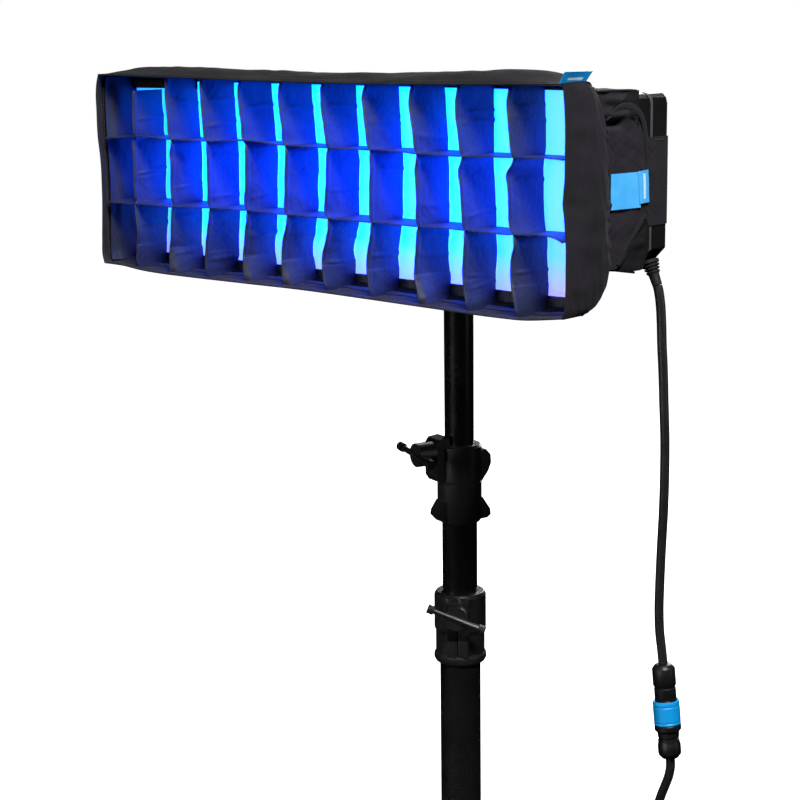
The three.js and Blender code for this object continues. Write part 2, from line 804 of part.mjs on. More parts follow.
function connectorPlug() {
  const { body, top, end } = CONNECTOR;
  const profile = [
    [0, 45.8],
    [9.9, 45.8],
    [9.9, 50],
    [8.1, 51],
    [8.1, 60],
    [body, 61],
    [body, 68.5],
    [6, 71.4],
    [0, 71.4],
  ];
  return turnedAlong(profile, top, end, 24);
}

function lockingRing() {
  const { ring: outer, ringBore, top, end } = CONNECTOR;
  const profile = [[ringBore, 27.3], [outer, 27.3], [outer, 45.5], [ringBore, 45.5], [ringBore, 27.3]];
  return turnedAlong(profile, top, end, 24);
}

function coil() {
  const { x, y, inner, outer, height } = COIL;
  const profile = [
    [inner, 4],
    [inner + 4, 0],
    [outer - 4, 0],
    [outer, 4],
    [outer, height - 4],
    [outer - 4, height],
    [inner + 4, height],
    [inner, height - 4],
    [inner, 4],
  ];
  return turned(profile, 32).translate(x, y, 0);
}

// The lead's far end: a round plug like the inline one, lying beside the coil.
const FAR_PLUG = { from: [139, 30, 8.7], to: [102, 42, 8.7] };

function farPlug() {
  const profile = [[0, 0], [6, 0], [8.6, 3], [8.6, 22], [8.1, 23], [8.1, 30], [7, 30], [7, 40], [0, 40]];
  return turnedAlong(profile, FAR_PLUG.from, FAR_PLUG.to, 24);
}

const TAIL_ROUTE = [
  [174, 26.4, 4],
  [163, 26.2, 4.8],
  [153, 26.6, 6.8],
  [145.2, 28, 8.4],
  [139.4, 29.87, 8.7],
];

add('lead_stub', swept(STUB_ROUTE, LEAD.radius, LEAD.sides, 5), FINISH.leadJacket());
add('lead_upper', swept(UPPER_ROUTE, LEAD.radius, LEAD.sides, 16), FINISH.leadJacket());
add('connector_socket', connectorSocket(), FINISH.housing());
add('locking_ring', lockingRing(), FINISH.label());
add('connector_plug', connectorPlug(), FINISH.housing());
add('lead_lower', swept(LOWER_ROUTE, LEAD.radius, LEAD.sides, 36), FINISH.leadJacket());
add('lead_coil', coil(), FINISH.leadJacket());
add('lead_tail', swept(TAIL_ROUTE, LEAD.radius, LEAD.sides, 4), FINISH.leadJacket());
add('far_plug', farPlug(), FINISH.housing());

// ---- origin ------------------------------------------------------------------------------------------

// The origin is on the floor in the middle of the stand and head, measured without the lead.
const LEAD_NODE = /^(lead_|connector_|locking_ring|far_plug)/;
const footprint = new THREE.Box3();
parts.children.filter(({ name }) => !LEAD_NODE.test(name)).forEach((mesh) => footprint.expandByObject(mesh));
const middle = footprint.getCenter(new THREE.Vector3());
parts.position.set(-middle.x, -middle.y, 0);

export default parts;
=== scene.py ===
import math
import random

import bpy
import numpy as np
from mathutils import Matrix, Vector


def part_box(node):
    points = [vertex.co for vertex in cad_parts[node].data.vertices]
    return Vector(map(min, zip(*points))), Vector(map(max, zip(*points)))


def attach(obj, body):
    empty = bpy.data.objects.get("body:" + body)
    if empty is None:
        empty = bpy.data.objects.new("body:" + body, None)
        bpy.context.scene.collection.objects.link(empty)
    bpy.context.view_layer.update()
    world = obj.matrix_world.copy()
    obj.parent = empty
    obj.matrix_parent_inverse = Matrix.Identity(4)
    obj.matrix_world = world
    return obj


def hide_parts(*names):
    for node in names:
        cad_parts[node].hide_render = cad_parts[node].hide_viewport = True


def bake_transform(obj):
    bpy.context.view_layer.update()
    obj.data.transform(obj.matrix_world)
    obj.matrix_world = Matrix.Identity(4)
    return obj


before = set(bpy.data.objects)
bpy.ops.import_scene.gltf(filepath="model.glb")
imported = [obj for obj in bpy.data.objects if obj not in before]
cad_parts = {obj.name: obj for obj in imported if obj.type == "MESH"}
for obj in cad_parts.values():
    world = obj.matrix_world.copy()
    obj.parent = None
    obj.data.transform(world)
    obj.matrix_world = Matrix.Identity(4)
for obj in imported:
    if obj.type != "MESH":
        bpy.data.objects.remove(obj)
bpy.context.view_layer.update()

# ---- the frame, in millimetres about the column's axis -------------------------------------------

MM = 0.001
tube_low, tube_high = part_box("riser_2")
AXIS = (tube_low + tube_high) / 2


def row(points):
    """Millimetres about the column's axis, floor at zero, to metres in the row frame."""
    return np.asarray(points, float) * MM + np.array([AXIS.x, AXIS.y, 0.0])


def at(x, y, z):
    return Vector(row([x, y, z]))


def mm_box(node):
    low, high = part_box(node)
    shift = np.array([AXIS.x, AXIS.y, 0.0])
    return (np.array(low) - shift) / MM, (np.array(high) - shift) / MM


def smooth(t):
    t = np.clip(t, 0, 1)
    return t * t * (3 - 2 * t)


def span(value, start, end):
    """0 before start, 1 after end, and smooth between them."""
    return smooth((np.asarray(value, float) - start) / (end - start))


def curve_through(xs, ys, values):
    """A soft curve through measured points."""
    xs, ys = np.asarray(xs, float), np.asarray(ys, float)
    values = np.asarray(values, float)
    slope = np.gradient(ys, xs)
    i = np.clip(np.searchsorted(xs, values) - 1, 0, len(xs) - 2)
    width = xs[i + 1] - xs[i]
    t = np.clip((values - xs[i]) / width, 0, 1)
    h00, h10 = (1 + 2 * t) * (1 - t) ** 2, t * (1 - t) ** 2
    h01, h11 = t * t * (3 - 2 * t), t * t * (t - 1)
    return h00 * ys[i] + h10 * width * slope[i] + h01 * ys[i + 1] + h11 * width * slope[i + 1]


def ripples(seed, count, low, high):
    """A repeatable uneven function of two lengths, about -1 to 1. low and high are its wavelengths."""
    rng = random.Random(seed)
    terms = []
    for _ in range(count):
        angle, length = rng.uniform(0, math.pi), rng.uniform(low, high)
        k = 2 * math.pi / length
        terms.append((k * math.cos(angle), k * math.sin(angle), rng.uniform(0, 6.28), rng.uniform(0.5, 1)))
    total = sum(term[3] for term in terms) * 0.6

    def height(a, b):
        return sum(w * np.sin(ka * a + kb * b + phase) for ka, kb, phase, w in terms) / total

    return height


# ---- materials -----------------------------------------------------------------------------------


class Shader:
    """A small helper that adds and links nodes of one material."""

    def __init__(self, name):
        self.material = bpy.data.materials.new(name)
        self.material.use_nodes = True
        self.nodes, self.links = self.material.node_tree.nodes, self.material.node_tree.links
        self.surface = self.nodes["Principled BSDF"]
        self.place = self.nodes.new("ShaderNodeTexCoord").outputs["Object"]

    def put(self, socket, value):
        if isinstance(value, bpy.types.NodeSocket):
            self.links.new(value, socket)
        else:
            socket.default_value = value

    def add(self, kind, out=0, settings=None, **inputs):
        node = self.nodes.new(kind)
        for key, value in (settings or {}).items():
            setattr(node, key, value)
        for key, value in inputs.items():
            self.put(node.inputs[int(key[1:]) if key[0] == "i" and key[1:].isdigit() else key], value)
        return node.outputs[out]

    def noise(self, scale, detail=3.0, rough=0.55, place=None):
        return self.add("ShaderNodeTexNoise", 0, Vector=place or self.place, Scale=scale, Detail=detail,
                        Roughness=rough)

    def math(self, operation, a, b=0.0):
        return self.add("ShaderNodeMath", 0, {"operation": operation}, i0=a, i1=b)

    def ramp(self, factor, *stops):
        node = self.nodes.new("ShaderNodeValToRGB")
        self.put(node.inputs["Fac"], factor)
        elements = node.color_ramp.elements
        while len(elements) < len(stops):
            elements.new(0.5)
        for element, (position, color) in zip(elements, stops):
            element.position = position
            element.color = (*color, 1.0) if isinstance(color, tuple) else (color, color, color, 1.0)
        return node.outputs["Color"]

    def weave(self, pitch):
        """Threads crossing every pitch metres, whatever way the cloth faces."""
        scaled = self.add("ShaderNodeVectorMath", 0, {"operation": "SCALE"}, Vector=self.place,
                          Scale=2 * math.pi / pitch)
        waves = self.add("ShaderNodeVectorMath", 0, {"operation": "SINE"}, i0=scaled)
        return self.add("ShaderNodeVectorMath", 1, {"operation": "DOT_PRODUCT"}, i0=waves,
                        i1=(1.0, 1.0, 1.0))

    def bump(self, height, distance, strength=1.0, under=None):
        node = self.nodes.new("ShaderNodeBump")
        self.put(node.inputs["Height"], height)
        node.inputs["Distance"].default_value = distance
        node.inputs["Strength"].default_value = strength
        if under:
            self.put(node.inputs["Normal"], under)
        return node.outputs["Normal"]

    def finish(self, **inputs):
        names = {"color": "Base Color", "roughness": "Roughness", "normal": "Normal",
                 "metallic": "Metallic",
                 "sheen": "Sheen Weight", "sheen_rough": "Sheen Roughness", "sheen_tint": "Sheen Tint",
                 "specular": "Specular IOR Level", "coat": "Coat Weight", "coat_rough": "Coat Roughness",
                 "glow": "Emission Color", "glow_strength": "Emission Strength"}
        for key, value in inputs.items():
            self.put(self.surface.inputs[names[key]], value)
        return self.material


def fabric(name, dark, light, pitch=0.0009, rough=0.82, crush=0.0006, sheen=0.12, specular=0.25):
    s = Shader(name)
    cloudy = s.noise(28.0, 4.0)
    fine = s.noise(900.0, 2.0)
    both = s.add("ShaderNodeMix", 0, {"data_type": "FLOAT"}, i0=0.35, i2=cloudy, i3=fine)
    weave = s.bump(s.weave(pitch), 0.00006, 0.5)
    crushed = s.bump(s.noise(60.0, 5.0, 0.6), crush, 0.6, weave)
    roughness = s.ramp(fine, (0.3, rough - 0.08), (0.7, rough + 0.06))
    return s.finish(color=s.ramp(both, (0.32, dark), (0.68, light)), roughness=roughness, normal=crushed,
                    sheen=sheen, sheen_rough=0.45, sheen_tint=(0.75, 0.7, 0.75, 1.0), specular=specular)


def moulded(name, dark, light, rough, grain, depth, specular=0.35, metallic=0.0, coat=0.0):
    """Plastic, rubber or painted metal: uneven tone, a grain in the surface, and rubbed patches."""
    s = Shader(name)
    tone = s.noise(34.0, 4.0)
    speck = s.noise(grain, 2.0)
    wear = s.noise(14.0, 6.0, 0.7)
    roughness = s.ramp(wear, (0.35, rough - 0.07), (0.68, rough + 0.08))
    return s.finish(color=s.ramp(tone, (0.3, dark), (0.7, light)), roughness=roughness, metallic=metallic,
                    normal=s.bump(speck, depth, 0.5), specular=specular, coat=coat, coat_rough=0.2)


def grey(value, warm=0.0):
    return (value * (1 + warm), value, value * (1 - warm))


MAT = {
    "softbox": fabric("softbox_fabric", (0.0054, 0.0046, 0.0068), (0.0108, 0.0092, 0.0134), sheen=0.05),
    # The top cloth is the softbox cloth made darker: painted shade that keeps the top as dark as the walls
    # under the high key lamp.
    "top_cloth": fabric("softbox_cloth_painted_shade_top", (0.0030, 0.0027, 0.0038), (0.0060, 0.0054, 0.0074),
                        sheen=0.02),
    "binding": fabric("binding_tape", (0.006, 0.006, 0.007), (0.016, 0.015, 0.017), 0.0006, 0.7, 0.0002,
                      0.08),
    # The grid cloth is black; its navy tint is painted blue light from the diffuser.
    "grid": fabric("grid_fabric", (0.007, 0.010, 0.030), (0.012, 0.016, 0.044), 0.0008, 0.56, 0.0004, 0.0,
                   0.5),
    # Hook-and-loop tape; the same dark cloth is also painted shade on the gussets and over the diffuser's
    # top left corner.
    "hook_loop": fabric("hook_and_loop_and_painted_shade", (0.004, 0.004, 0.005), (0.010, 0.010, 0.011), 0.0016, 0.95,
                        0.0008, 0.0, 0.1),
    "thread": fabric("sewing_thread", (0.03, 0.028, 0.03), (0.055, 0.05, 0.055), 0.0004, 0.6, 0.0001),
    "panel": moulded("panel_plastic", grey(0.0022), grey(0.0042), 0.42, 1500.0, 0.00004, 0.3),
    # The seam strip's pale grey is a painted highlight along the panel's edge.
    "seam": moulded("seam_strip_painted_highlight", grey(0.045), grey(0.075), 0.4, 900.0, 0.00003, 0.4),
    "cast": moulded("cast_black", grey(0.010), grey(0.018), 0.36, 1100.0, 0.00006, 0.35),
    "tube": moulded("tube_black", grey(0.0045), grey(0.0075), 0.24, 700.0, 0.00001, 0.3),
    "rubber": moulded("rubber_black", grey(0.008), grey(0.014), 0.7, 800.0, 0.00006, 0.2),
    "jacket": moulded("lead_jacket", grey(0.0075), grey(0.012), 0.33, 500.0, 0.00002, 0.4),
    "ring": moulded("ring_blue", (0.001, 0.20, 0.50), (0.003, 0.27, 0.62), 0.38, 900.0, 0.00002, 0.4),
    "acrylic": moulded("light_guide", grey(0.72), grey(0.80), 0.25, 300.0, 0.00001, 0.5),
    "spring": moulded("spring_steel", grey(0.30), grey(0.42), 0.3, 400.0, 0.00002, 0.5, 1.0),
    "zinc": moulded("zinc_steel", grey(0.38), grey(0.52), 0.28, 500.0, 0.00002, 0.5, 1.0),
}


def board_material():
    """Green lacquered board with copper tracks showing through."""
    s = Shader("circuit_board")
    tracks = s.add("ShaderNodeTexVoronoi", 0, {"distance": "MANHATTAN"}, Vector=s.place, Scale=210.0)
    color = s.ramp(tracks, (0.0, (0.05, 0.17, 0.06)), (0.35, (0.01, 0.07, 0.03)))
    return s.finish(color=color, roughness=s.ramp(s.noise(80.0), (0.3, 0.35), (0.7, 0.5)),
                    normal=s.bump(tracks, 0.0001, 0.4))


def label_material(name, dark, light):
    s = Shader(name)
    weave = s.weave(0.0005)
    tone = s.noise(70.0, 3.0)
    return s.finish(color=s.ramp(tone, (0.3, dark), (0.7, light)),
                    roughness=s.ramp(s.noise(700.0), (0.3, 0.42), (0.7, 0.6)),
                    normal=s.bump(weave, 0.00004, 0.5), specular=0.2)


def glowing_cloth():
    """Diffusion cloth lit from behind: even light that pales towards the lower edge and the right end."""
    s = Shader("lit_diffusion_cloth")
    xyz = s.nodes.new("ShaderNodeSeparateXYZ")
    s.put(xyz.inputs[0], s.place)
    low = np.array(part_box("front_diffuser")[0])

    def along(socket, start, *stops):
        """A value that changes with one coordinate; stops are (millimetres from start, value)."""
        first, last = stops[0][0] * MM, stops[-1][0] * MM
        top = max(value for _, value in stops)
        t = s.add("ShaderNodeMapRange", 0, Value=socket, i1=float(start) + first, i2=float(start) + last)
        scaled = [((at_mm * MM - first) / (last - first), value / top) for at_mm, value in stops]
        return s.math("MULTIPLY", s.ramp(t, *scaled), top)

    cloud = s.math("ADD", s.math("MULTIPLY", s.noise(16.0, 3.0), 0.3), 0.85)
    x, z = xyz.outputs["X"], xyz.outputs["Z"]
    left, foot = low[0], low[2]
    red = s.math("ADD", along(z, foot, (0, 0.30), (12, 0.20), (26, 0.02), (142, 0.0)),
                 along(x, left, (0, 0.0), (390, 0.0), (440, 0.05), (493, 0.17)))
    green = s.math("MULTIPLY", along(z, foot, (0, 0.5), (24, 0.85), (70, 1.0), (142, 0.95)),
                   along(x, left, (0, 0.4), (30, 0.6), (50, 1.15), (330, 1.2), (420, 0.95), (493, 0.72)))
    blue = s.math("MULTIPLY", along(z, foot, (0, 0.22), (30, 0.5), (52, 1.0), (100, 1.0), (120, 0.65),
                                    (142, 0.42)),
                  along(x, left, (0, 6.0), (30, 9.0), (50, 18.0), (110, 25.0), (330, 28.0), (400, 20.0),
                        (493, 8.0)))
    mix = s.nodes.new("ShaderNodeCombineXYZ")
    for i, value in enumerate((s.math("MULTIPLY", red, cloud), green, s.math("MAXIMUM", blue, 1.0))):
        s.put(mix.inputs[i], value)
    threads = s.bump(s.weave(0.0007), 0.00003, 0.3)
    return s.finish(color=(0.22, 0.24, 0.32, 1.0), roughness=0.6, normal=threads, glow=mix.outputs[0],
                    glow_strength=1.0)


MAT["board"] = board_material()
MAT["blue_label"] = label_material("label_blue", (0.004, 0.21, 0.56), (0.010, 0.29, 0.68))
MAT["sky_label"] = label_material("label_sky_blue", (0.045, 0.34, 0.74), (0.080, 0.42, 0.84))
MAT["pale_stripe"] = label_material("label_stripe", (0.45, 0.62, 0.80), (0.60, 0.76, 0.90))
MAT["glow"] = glowing_cloth()
MAT["diffusion"] = fabric("diffusion_cloth", (0.62, 0.63, 0.68), (0.74, 0.75, 0.78), 0.0007, 0.7, 0.0003,
                          0.1)

# ---- mesh helpers --------------------------------------------------------------------------------


def piece(name, points, faces, material, body=None, slot=None, replaces=(), sharp=32, second=None,
          second_faces=()):
    """A mesh object from millimetre points. Edges sharper than the given angle stay sharp."""
    mesh = bpy.data.meshes.new(name)
    mesh.from_pydata(row(points).tolist(), [], [list(map(int, face)) for face in faces])
    mesh.materials.append(MAT[material])
    if second:
        mesh.materials.append(MAT[second])
        for i in second_faces:
            mesh.polygons[i].material_index = 1
    mesh.shade_smooth()
    if sharp:
        mesh.set_sharp_from_angle(angle=math.radians(sharp))
    mesh.update()
    obj = bpy.data.objects.new(name, mesh)
    bpy.context.scene.collection.objects.link(obj)
    if body:
        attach(obj, body)
    if replaces:
        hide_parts(*replaces)
    return obj


def joined(parts):
    """Several (points, faces) as one."""
    points, faces, start = [], [], 0
    for more, quads in parts:
        more = np.asarray(more, float).reshape(-1, 3)
        points.append(more)
        faces += [[i + start for i in face] for face in quads]
        start += len(more)
    return np.concatenate(points), faces


def grid_normals(surface):
    a, b = np.gradient(surface, axis=0), np.gradient(surface, axis=1)
    n = np.cross(a, b)
    return n / np.maximum(np.linalg.norm(n, axis=2, keepdims=True), 1e-9)


def cloth_layers(surface, thick, flip=False):
    """A closed sheet from a grid of points on its outer face. thick is a number or a grid of numbers."""
    nu, nv = surface.shape[:2]
    normal = grid_normals(surface) * (-1 if flip else 1)
    inner = surface - normal * np.broadcast_to(np.asarray(thick, float), (nu, nv))[..., None]
    points = np.concatenate([surface.reshape(-1, 3), inner.reshape(-1, 3)])
    index = np.arange(nu * nv).reshape(nu, nv)
    below = index + nu * nv
    faces = []
    for i in range(nu - 1):
        for j in range(nv - 1):
            quad = [index[i, j], index[i + 1, j], index[i + 1, j + 1], index[i, j + 1]]
            under = [below[i, j], below[i, j + 1], below[i + 1, j + 1], below[i + 1, j]]
            faces.append(quad[::-1] if flip else quad)
            faces.append(under[::-1] if flip else under)
    loop = [(i, 0) for i in range(nu)] + [(nu - 1, j) for j in range(1, nv)]
    loop += [(i, nv - 1) for i in range(nu - 2, -1, -1)] + [(0, j) for j in range(nv - 2, 0, -1)]
    for a, b in zip(loop, loop[1:] + loop[:1]):
        side = [index[a], below[a], below[b], index[b]]
        faces.append(side[::-1] if flip else side)
    return points, faces


def sheet(name, surface, thick, material, body, flat, slot=None, held="stretched", rests_on=(),
          replaces=(), flip=False, sharp=50, area=None, **more):
    points, faces = cloth_layers(surface, thick, flip)
    obj = piece(name, points, faces, material, body, slot, replaces, sharp, **more)
    return obj


def on_box(name, mesh, material):
    """A small piece of the softbox."""
    return piece(name, *mesh, material, "head", "softbox_fabric")


def sweep(path, radius, sides=16, flatten=None, ends=True, up=None):
    """A tube along a path. radius is a number or one per point; flatten scales (across, along up)."""
    path = np.asarray(path, float)
    n = len(path)
    tangent = np.gradient(path, axis=0)
    tangent /= np.maximum(np.linalg.norm(tangent, axis=1, keepdims=True), 1e-9)
    first = np.array(up if up is not None else ([0, 0, 1] if abs(tangent[0][2]) < 0.9 else [1, 0, 0]),
                     float)
    radius = np.broadcast_to(np.asarray(radius, float), n)
    angles = np.linspace(0, 2 * math.pi, sides, endpoint=False)
    rings, lift = [], first
    for i in range(n):
        lift = (first if up is not None else lift) - tangent[i] * np.dot(first if up is not None else lift,
                tangent[i])
        lift = lift / np.linalg.norm(lift)
        across = np.cross(tangent[i], lift)
        a, b = flatten if flatten else (1, 1)
        rings.append(path[i] + radius[i] * (np.outer(np.cos(angles) * a, across)
                                            + np.outer(np.sin(angles) * b, lift)))
    points = np.concatenate(rings)
    faces = []
    for i in range(n - 1):
        for j in range(sides):
            k = (j + 1) % sides
            faces.append([i * sides + j, i * sides + k, (i + 1) * sides + k, (i + 1) * sides + j])
    if ends:
        faces.append(list(range(sides))[::-1])
        faces.append([(n - 1) * sides + j for j in range(sides)])
    return points, faces


def through(points, step):
    """A smooth curve through the points, resampled at even steps."""
    p = np.asarray(points, float)
    gaps = np.linalg.norm(np.diff(p, axis=0), axis=1)
    s = np.concatenate([[0], np.cumsum(gaps)])
    slope = np.gradient(p, s, axis=0)
    t = np.linspace(0, s[-1], max(2, int(s[-1] / step) + 1))
    i = np.clip(np.searchsorted(s, t) - 1, 0, len(s) - 2)
    h = (s[i + 1] - s[i])[:, None]
    k = ((t - s[i]) / h[:, 0])[:, None]
    return ((1 + 2 * k) * (1 - k) ** 2 * p[i] + k * (1 - k) ** 2 * h * slope[i]
            + k * k * (3 - 2 * k) * p[i + 1] + k * k * (k - 1) * h * slope[i + 1])


def turned(profile, start, direction, sides=32, shape=None):
    """A turned piece. profile is (radius, distance) pairs; shape(angle, distance) scales the radius."""
    start, axis = np.asarray(start, float), np.asarray(direction, float)
    axis = axis / np.linalg.norm(axis)
    side = np.cross(axis, [0, 0, 1.0] if abs(axis[2]) < 0.9 else [0, 1.0, 0])
    side /= np.linalg.norm(side)
    other = np.cross(axis, side)
    angles = np.linspace(0, 2 * math.pi, sides, endpoint=False)
    points, faces = [], []
    for radius, distance in profile:
        for angle in angles:
            r = radius * (shape(angle, distance) if shape else 1)
            points.append(start + axis * distance + r * (math.cos(angle) * side + math.sin(angle) * other))
    for i in range(len(profile) - 1):
        for j in range(sides):
            k = (j + 1) % sides
            faces.append([i * sides + j, i * sides + k, (i + 1) * sides + k, (i + 1) * sides + j])
    if profile[0] != profile[-1]:
        faces.append(list(range(sides))[::-1])
        faces.append([(len(profile) - 1) * sides + j for j in range(sides)])
    else:
        last = (len(profile) - 1) * sides
        faces = [[i - last if i >= last else i for i in face] for face in faces]
        points = points[:last]
    return points, faces


def stitches(path, out, pitch=3.4, radius=0.22):
    """Short raised thread ends along a path; out is the way they stand off the cloth."""
    path = through(path, 0.4)
    along = np.concatenate([[0], np.cumsum(np.linalg.norm(np.diff(path, axis=0), axis=1))])
    out = np.asarray(out, float)
    parts = []
    for start in np.arange(1.0, along[-1] - pitch, pitch):
        steps = np.linspace(start, start + pitch * 0.68, 4)
        line = np.stack([np.interp(steps, along, path[:, k]) for k in range(3)], axis=1)
        line = line + out * (np.array([0.02, 0.25, 0.25, 0.02]) * radius * 4)[:, None]
        parts.append(sweep(line, np.array([0.5, 1, 1, 0.5]) * radius, 6))
    return joined(parts)


def rounded_block(low, high, radius, steps=2):
    import bmesh
    bm = bmesh.new()
    bmesh.ops.create_cube(bm, size=1.0)
    low, high = np.asarray(low, float), np.asarray(high, float)
    for v in bm.verts:
        v.co = Vector((low + high) / 2 + np.array(v.co) * (high - low))
    bmesh.ops.bevel(bm, geom=bm.edges[:] + bm.verts[:], offset=radius, segments=steps, affect="EDGES",
                    profile=0.5)
    bm.verts.index_update()
    result = [list(v.co) for v in bm.verts], [[v.index for v in f.verts] for f in bm.faces]
    bm.free()
    return result


def dress(node, material, bevel=0.5, steps=2, angle=28):
    """Keeps a CAD node's shape, rounds its edges a little and gives it a surface."""
    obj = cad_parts[node]
    mesh = obj.data
    for name in ("custom_normal", "sharp_face", "sharp_edge"):
        if name in mesh.attributes:
            mesh.attributes.remove(mesh.attributes[name])
    mesh.materials.clear()
    mesh.materials.append(MAT[material])
    mesh.shade_smooth()
    weld = obj.modifiers.new("weld", "WELD")
    weld.merge_threshold = 0.00001
    if bevel:
        edge = obj.modifiers.new("edge", "BEVEL")
        edge.width, edge.segments = bevel * MM, steps
        edge.limit_method, edge.angle_limit = "ANGLE", math.radians(angle)
        edge.use_clamp_overlap = True
        edge.harden_normals = True


# ---- camera --------------------------------------------------------------------------------------

CAMERA = {"place": (1094.12, -1222.42, 1047.71), "yaw": 43.57, "pitch": 11.06, "roll": -0.64, "lens": 89.1}


def make_camera():
    data = bpy.data.cameras.new("camera")
    data.lens, data.sensor_width = CAMERA["lens"], 36.0
    data.clip_start, data.clip_end = 0.05, 60.0
    yaw, pitch, roll = (math.radians(CAMERA[k]) for k in ("yaw", "pitch", "roll"))
    level = Vector((-math.sin(yaw), math.cos(yaw), 0))
    right = Vector((math.cos(yaw), math.sin(yaw), 0))
    up = Vector((0, 0, 1)) * math.cos(pitch) + level * math.sin(pitch)
    forward = level * math.cos(pitch) - Vector((0, 0, 1)) * math.sin(pitch)
    x = right * math.cos(roll) + up * math.sin(roll)
    y = up * math.cos(roll) - right * math.sin(roll)
    camera = bpy.data.objects.new("camera", data)
    camera.matrix_world = Matrix((x, y, -forward)).transposed().to_4x4()
    camera.location = at(*CAMERA["place"])
    bpy.context.scene.collection.objects.link(camera)
    bpy.context.scene.camera = camera


make_camera()

# ---- the lead ------------------------------------------------------------------------------------

LEAD_RADIUS = 3.5
STUB_ROUTE = [(257.75, -74, 853.65), (258.6, -74, 851), (259.5, -74, 847), (260.5, -74, 841),
              (261.6, -74, 828)]
UPPER_ROUTE = [(262.33, -74, 812), (263.6, -74, 794), (264.9, -74, 768), (266.2, -74, 742),
               (266.4, -74, 716), (265.9, -74, 690), (264.5, -74, 660), (263.5, -74, 632),
               (263.3, -74, 610), (264.4, -74, 594), (266, -74, 584), (267.55, -74, 572.8)]
LOWER_ROUTE = [(275.46, -74, 500.5), (275.8, -74, 495), (274.5, -74, 487), (271.6, -74, 479),
               (268, -74, 470), (263, -74, 454), (258.5, -73, 430), (255, -72, 398), (253, -71, 358),
               (251, -70, 312), (250, -69, 264), (249, -68, 216), (249, -67, 168), (249, -65, 120),
               (248, -61, 78), (245.5, -56, 46), (241, -49, 22), (234.5, -39, 7.5), (229.5, -32, 3.8),
               (224.8, -24.2, 3.7)]
TAIL_ROUTE = [(163, 26.2, 4.4), (153, 26.6, 6.4), (145.2, 28, 8.3), (139.2, 29.93, 8.7)]
COIL_X, COIL_Y = 176.0, -22.8
INNER_TURN, OUTER_TURN, SIDE_TURN = 34.5, 41.6, 49.2
LAYER = 7.1
FLOOR_LAYER = 3.7

# (degrees turned, radius, layer) where the lead changes turn or layer. It meets the coil at 30 degrees.
COIL_STEPS = [
    (30, OUTER_TURN, 0), (370, OUTER_TURN, 0), (420, INNER_TURN, 0), (730, INNER_TURN, 0),
    (780, INNER_TURN, 1), (1090, INNER_TURN, 1), (1140, OUTER_TURN, 1), (1450, OUTER_TURN, 1),
    (1500, INNER_TURN, 2), (1640, INNER_TURN, 2), (1690, OUTER_TURN, 2), (1710, OUTER_TURN, 2),
    (1800, SIDE_TURN, 2), (1835, SIDE_TURN, 2), (1890, SIDE_TURN, 0.04),
]


def coil_route():
    angles = np.array([step[0] for step in COIL_STEPS], float)
    turn = np.arange(angles[0], angles[-1] + 1, 12.0)
    i = np.clip(np.searchsorted(angles, turn, side="right") - 1, 0, len(angles) - 2)
    k = smooth((turn - angles[i]) / (angles[i + 1] - angles[i]))
    radius = np.array([step[1] for step in COIL_STEPS])
    level = np.array([step[2] for step in COIL_STEPS]) * LAYER + FLOOR_LAYER
    r = radius[i] + (radius[i + 1] - radius[i]) * k
    z = level[i] + (level[i + 1] - level[i]) * k
    a = np.radians(turn)
    return np.stack([COIL_X + r * np.cos(a), COIL_Y + r * np.sin(a), z], axis=1)


drop_path = through(STUB_ROUTE + UPPER_ROUTE, 3.0)
floor_path = through(LOWER_ROUTE + [tuple(p) for p in coil_route()] + TAIL_ROUTE, 3.0)


def split_at(path, z):
    """Index of the first point of a falling path that is below z."""
    return int(np.argmax(path[:, 2] < z))


CHANGE_1 = split_at(drop_path, 745)
CHANGE_2 = split_at(floor_path, 270)


def lead_piece(name, path, replaces):
    obj = piece(name, *sweep(path, LEAD_RADIUS, 20), "jacket", slot="lead_jacket", replaces=replaces,
                sharp=60)
    return obj


# ---- pieces on the lead: strain relief, inline connector, far plug -------------------------------

GLAND_START, GLAND_END = np.array([248.9, -74, 874.2]), np.array([257.6, -74, 854.0])
JOINT_TOP, JOINT_END = np.array([267.6, -74, 572.3]), np.array([275.4, -74, 501.0])
PLUG_FROM, PLUG_TO = np.array([139.0, 30, 8.7]), np.array([102.0, 42, 8.7])


GLAND_SIDES = 32
SLEEVE = [(4.6, 12.9), (4.1, 13.4), (3.95, 14.2), (3.75, 18), (3.6, 21.4), (3.5, 22.0)]


def gland_profile():
    """Ribs that get smaller, then a slim sleeve."""
    profile = [(6.5, 3.2), (6.8, 3.6), (6.8, 5.4), (6.4, 5.8)]
    for i in range(3):
        s, r = 5.8 + i * 2.3, 6.4 - i * 0.55
        profile += [(r - 1.1, s + 0.15), (r - 1.1, s + 0.8), (r - 0.1, s + 1.0), (r - 0.3, s + 2.1)]
    return profile + SLEEVE


# The sleeve's first four rings of faces look like the lead's jacket.
ribbed = len(gland_profile()) - len(SLEEVE) + 1
gland = piece("lead_strain_relief", *turned(gland_profile(), GLAND_START, GLAND_END - GLAND_START,
                                            GLAND_SIDES), "rubber", "head",
              "rubber_black", ["lead_gland"], second="jacket",
              second_faces=range(GLAND_SIDES * ribbed, GLAND_SIDES * (ribbed + 4)))


def grooves(count, depth, start, end):
    """Flutes round a grip between two distances along it."""

    def scale(angle, distance):
        inside = start <= distance <= end
        return 1 - (depth * (0.5 + 0.5 * math.cos(count * angle)) ** 3 if inside else 0)

    return scale


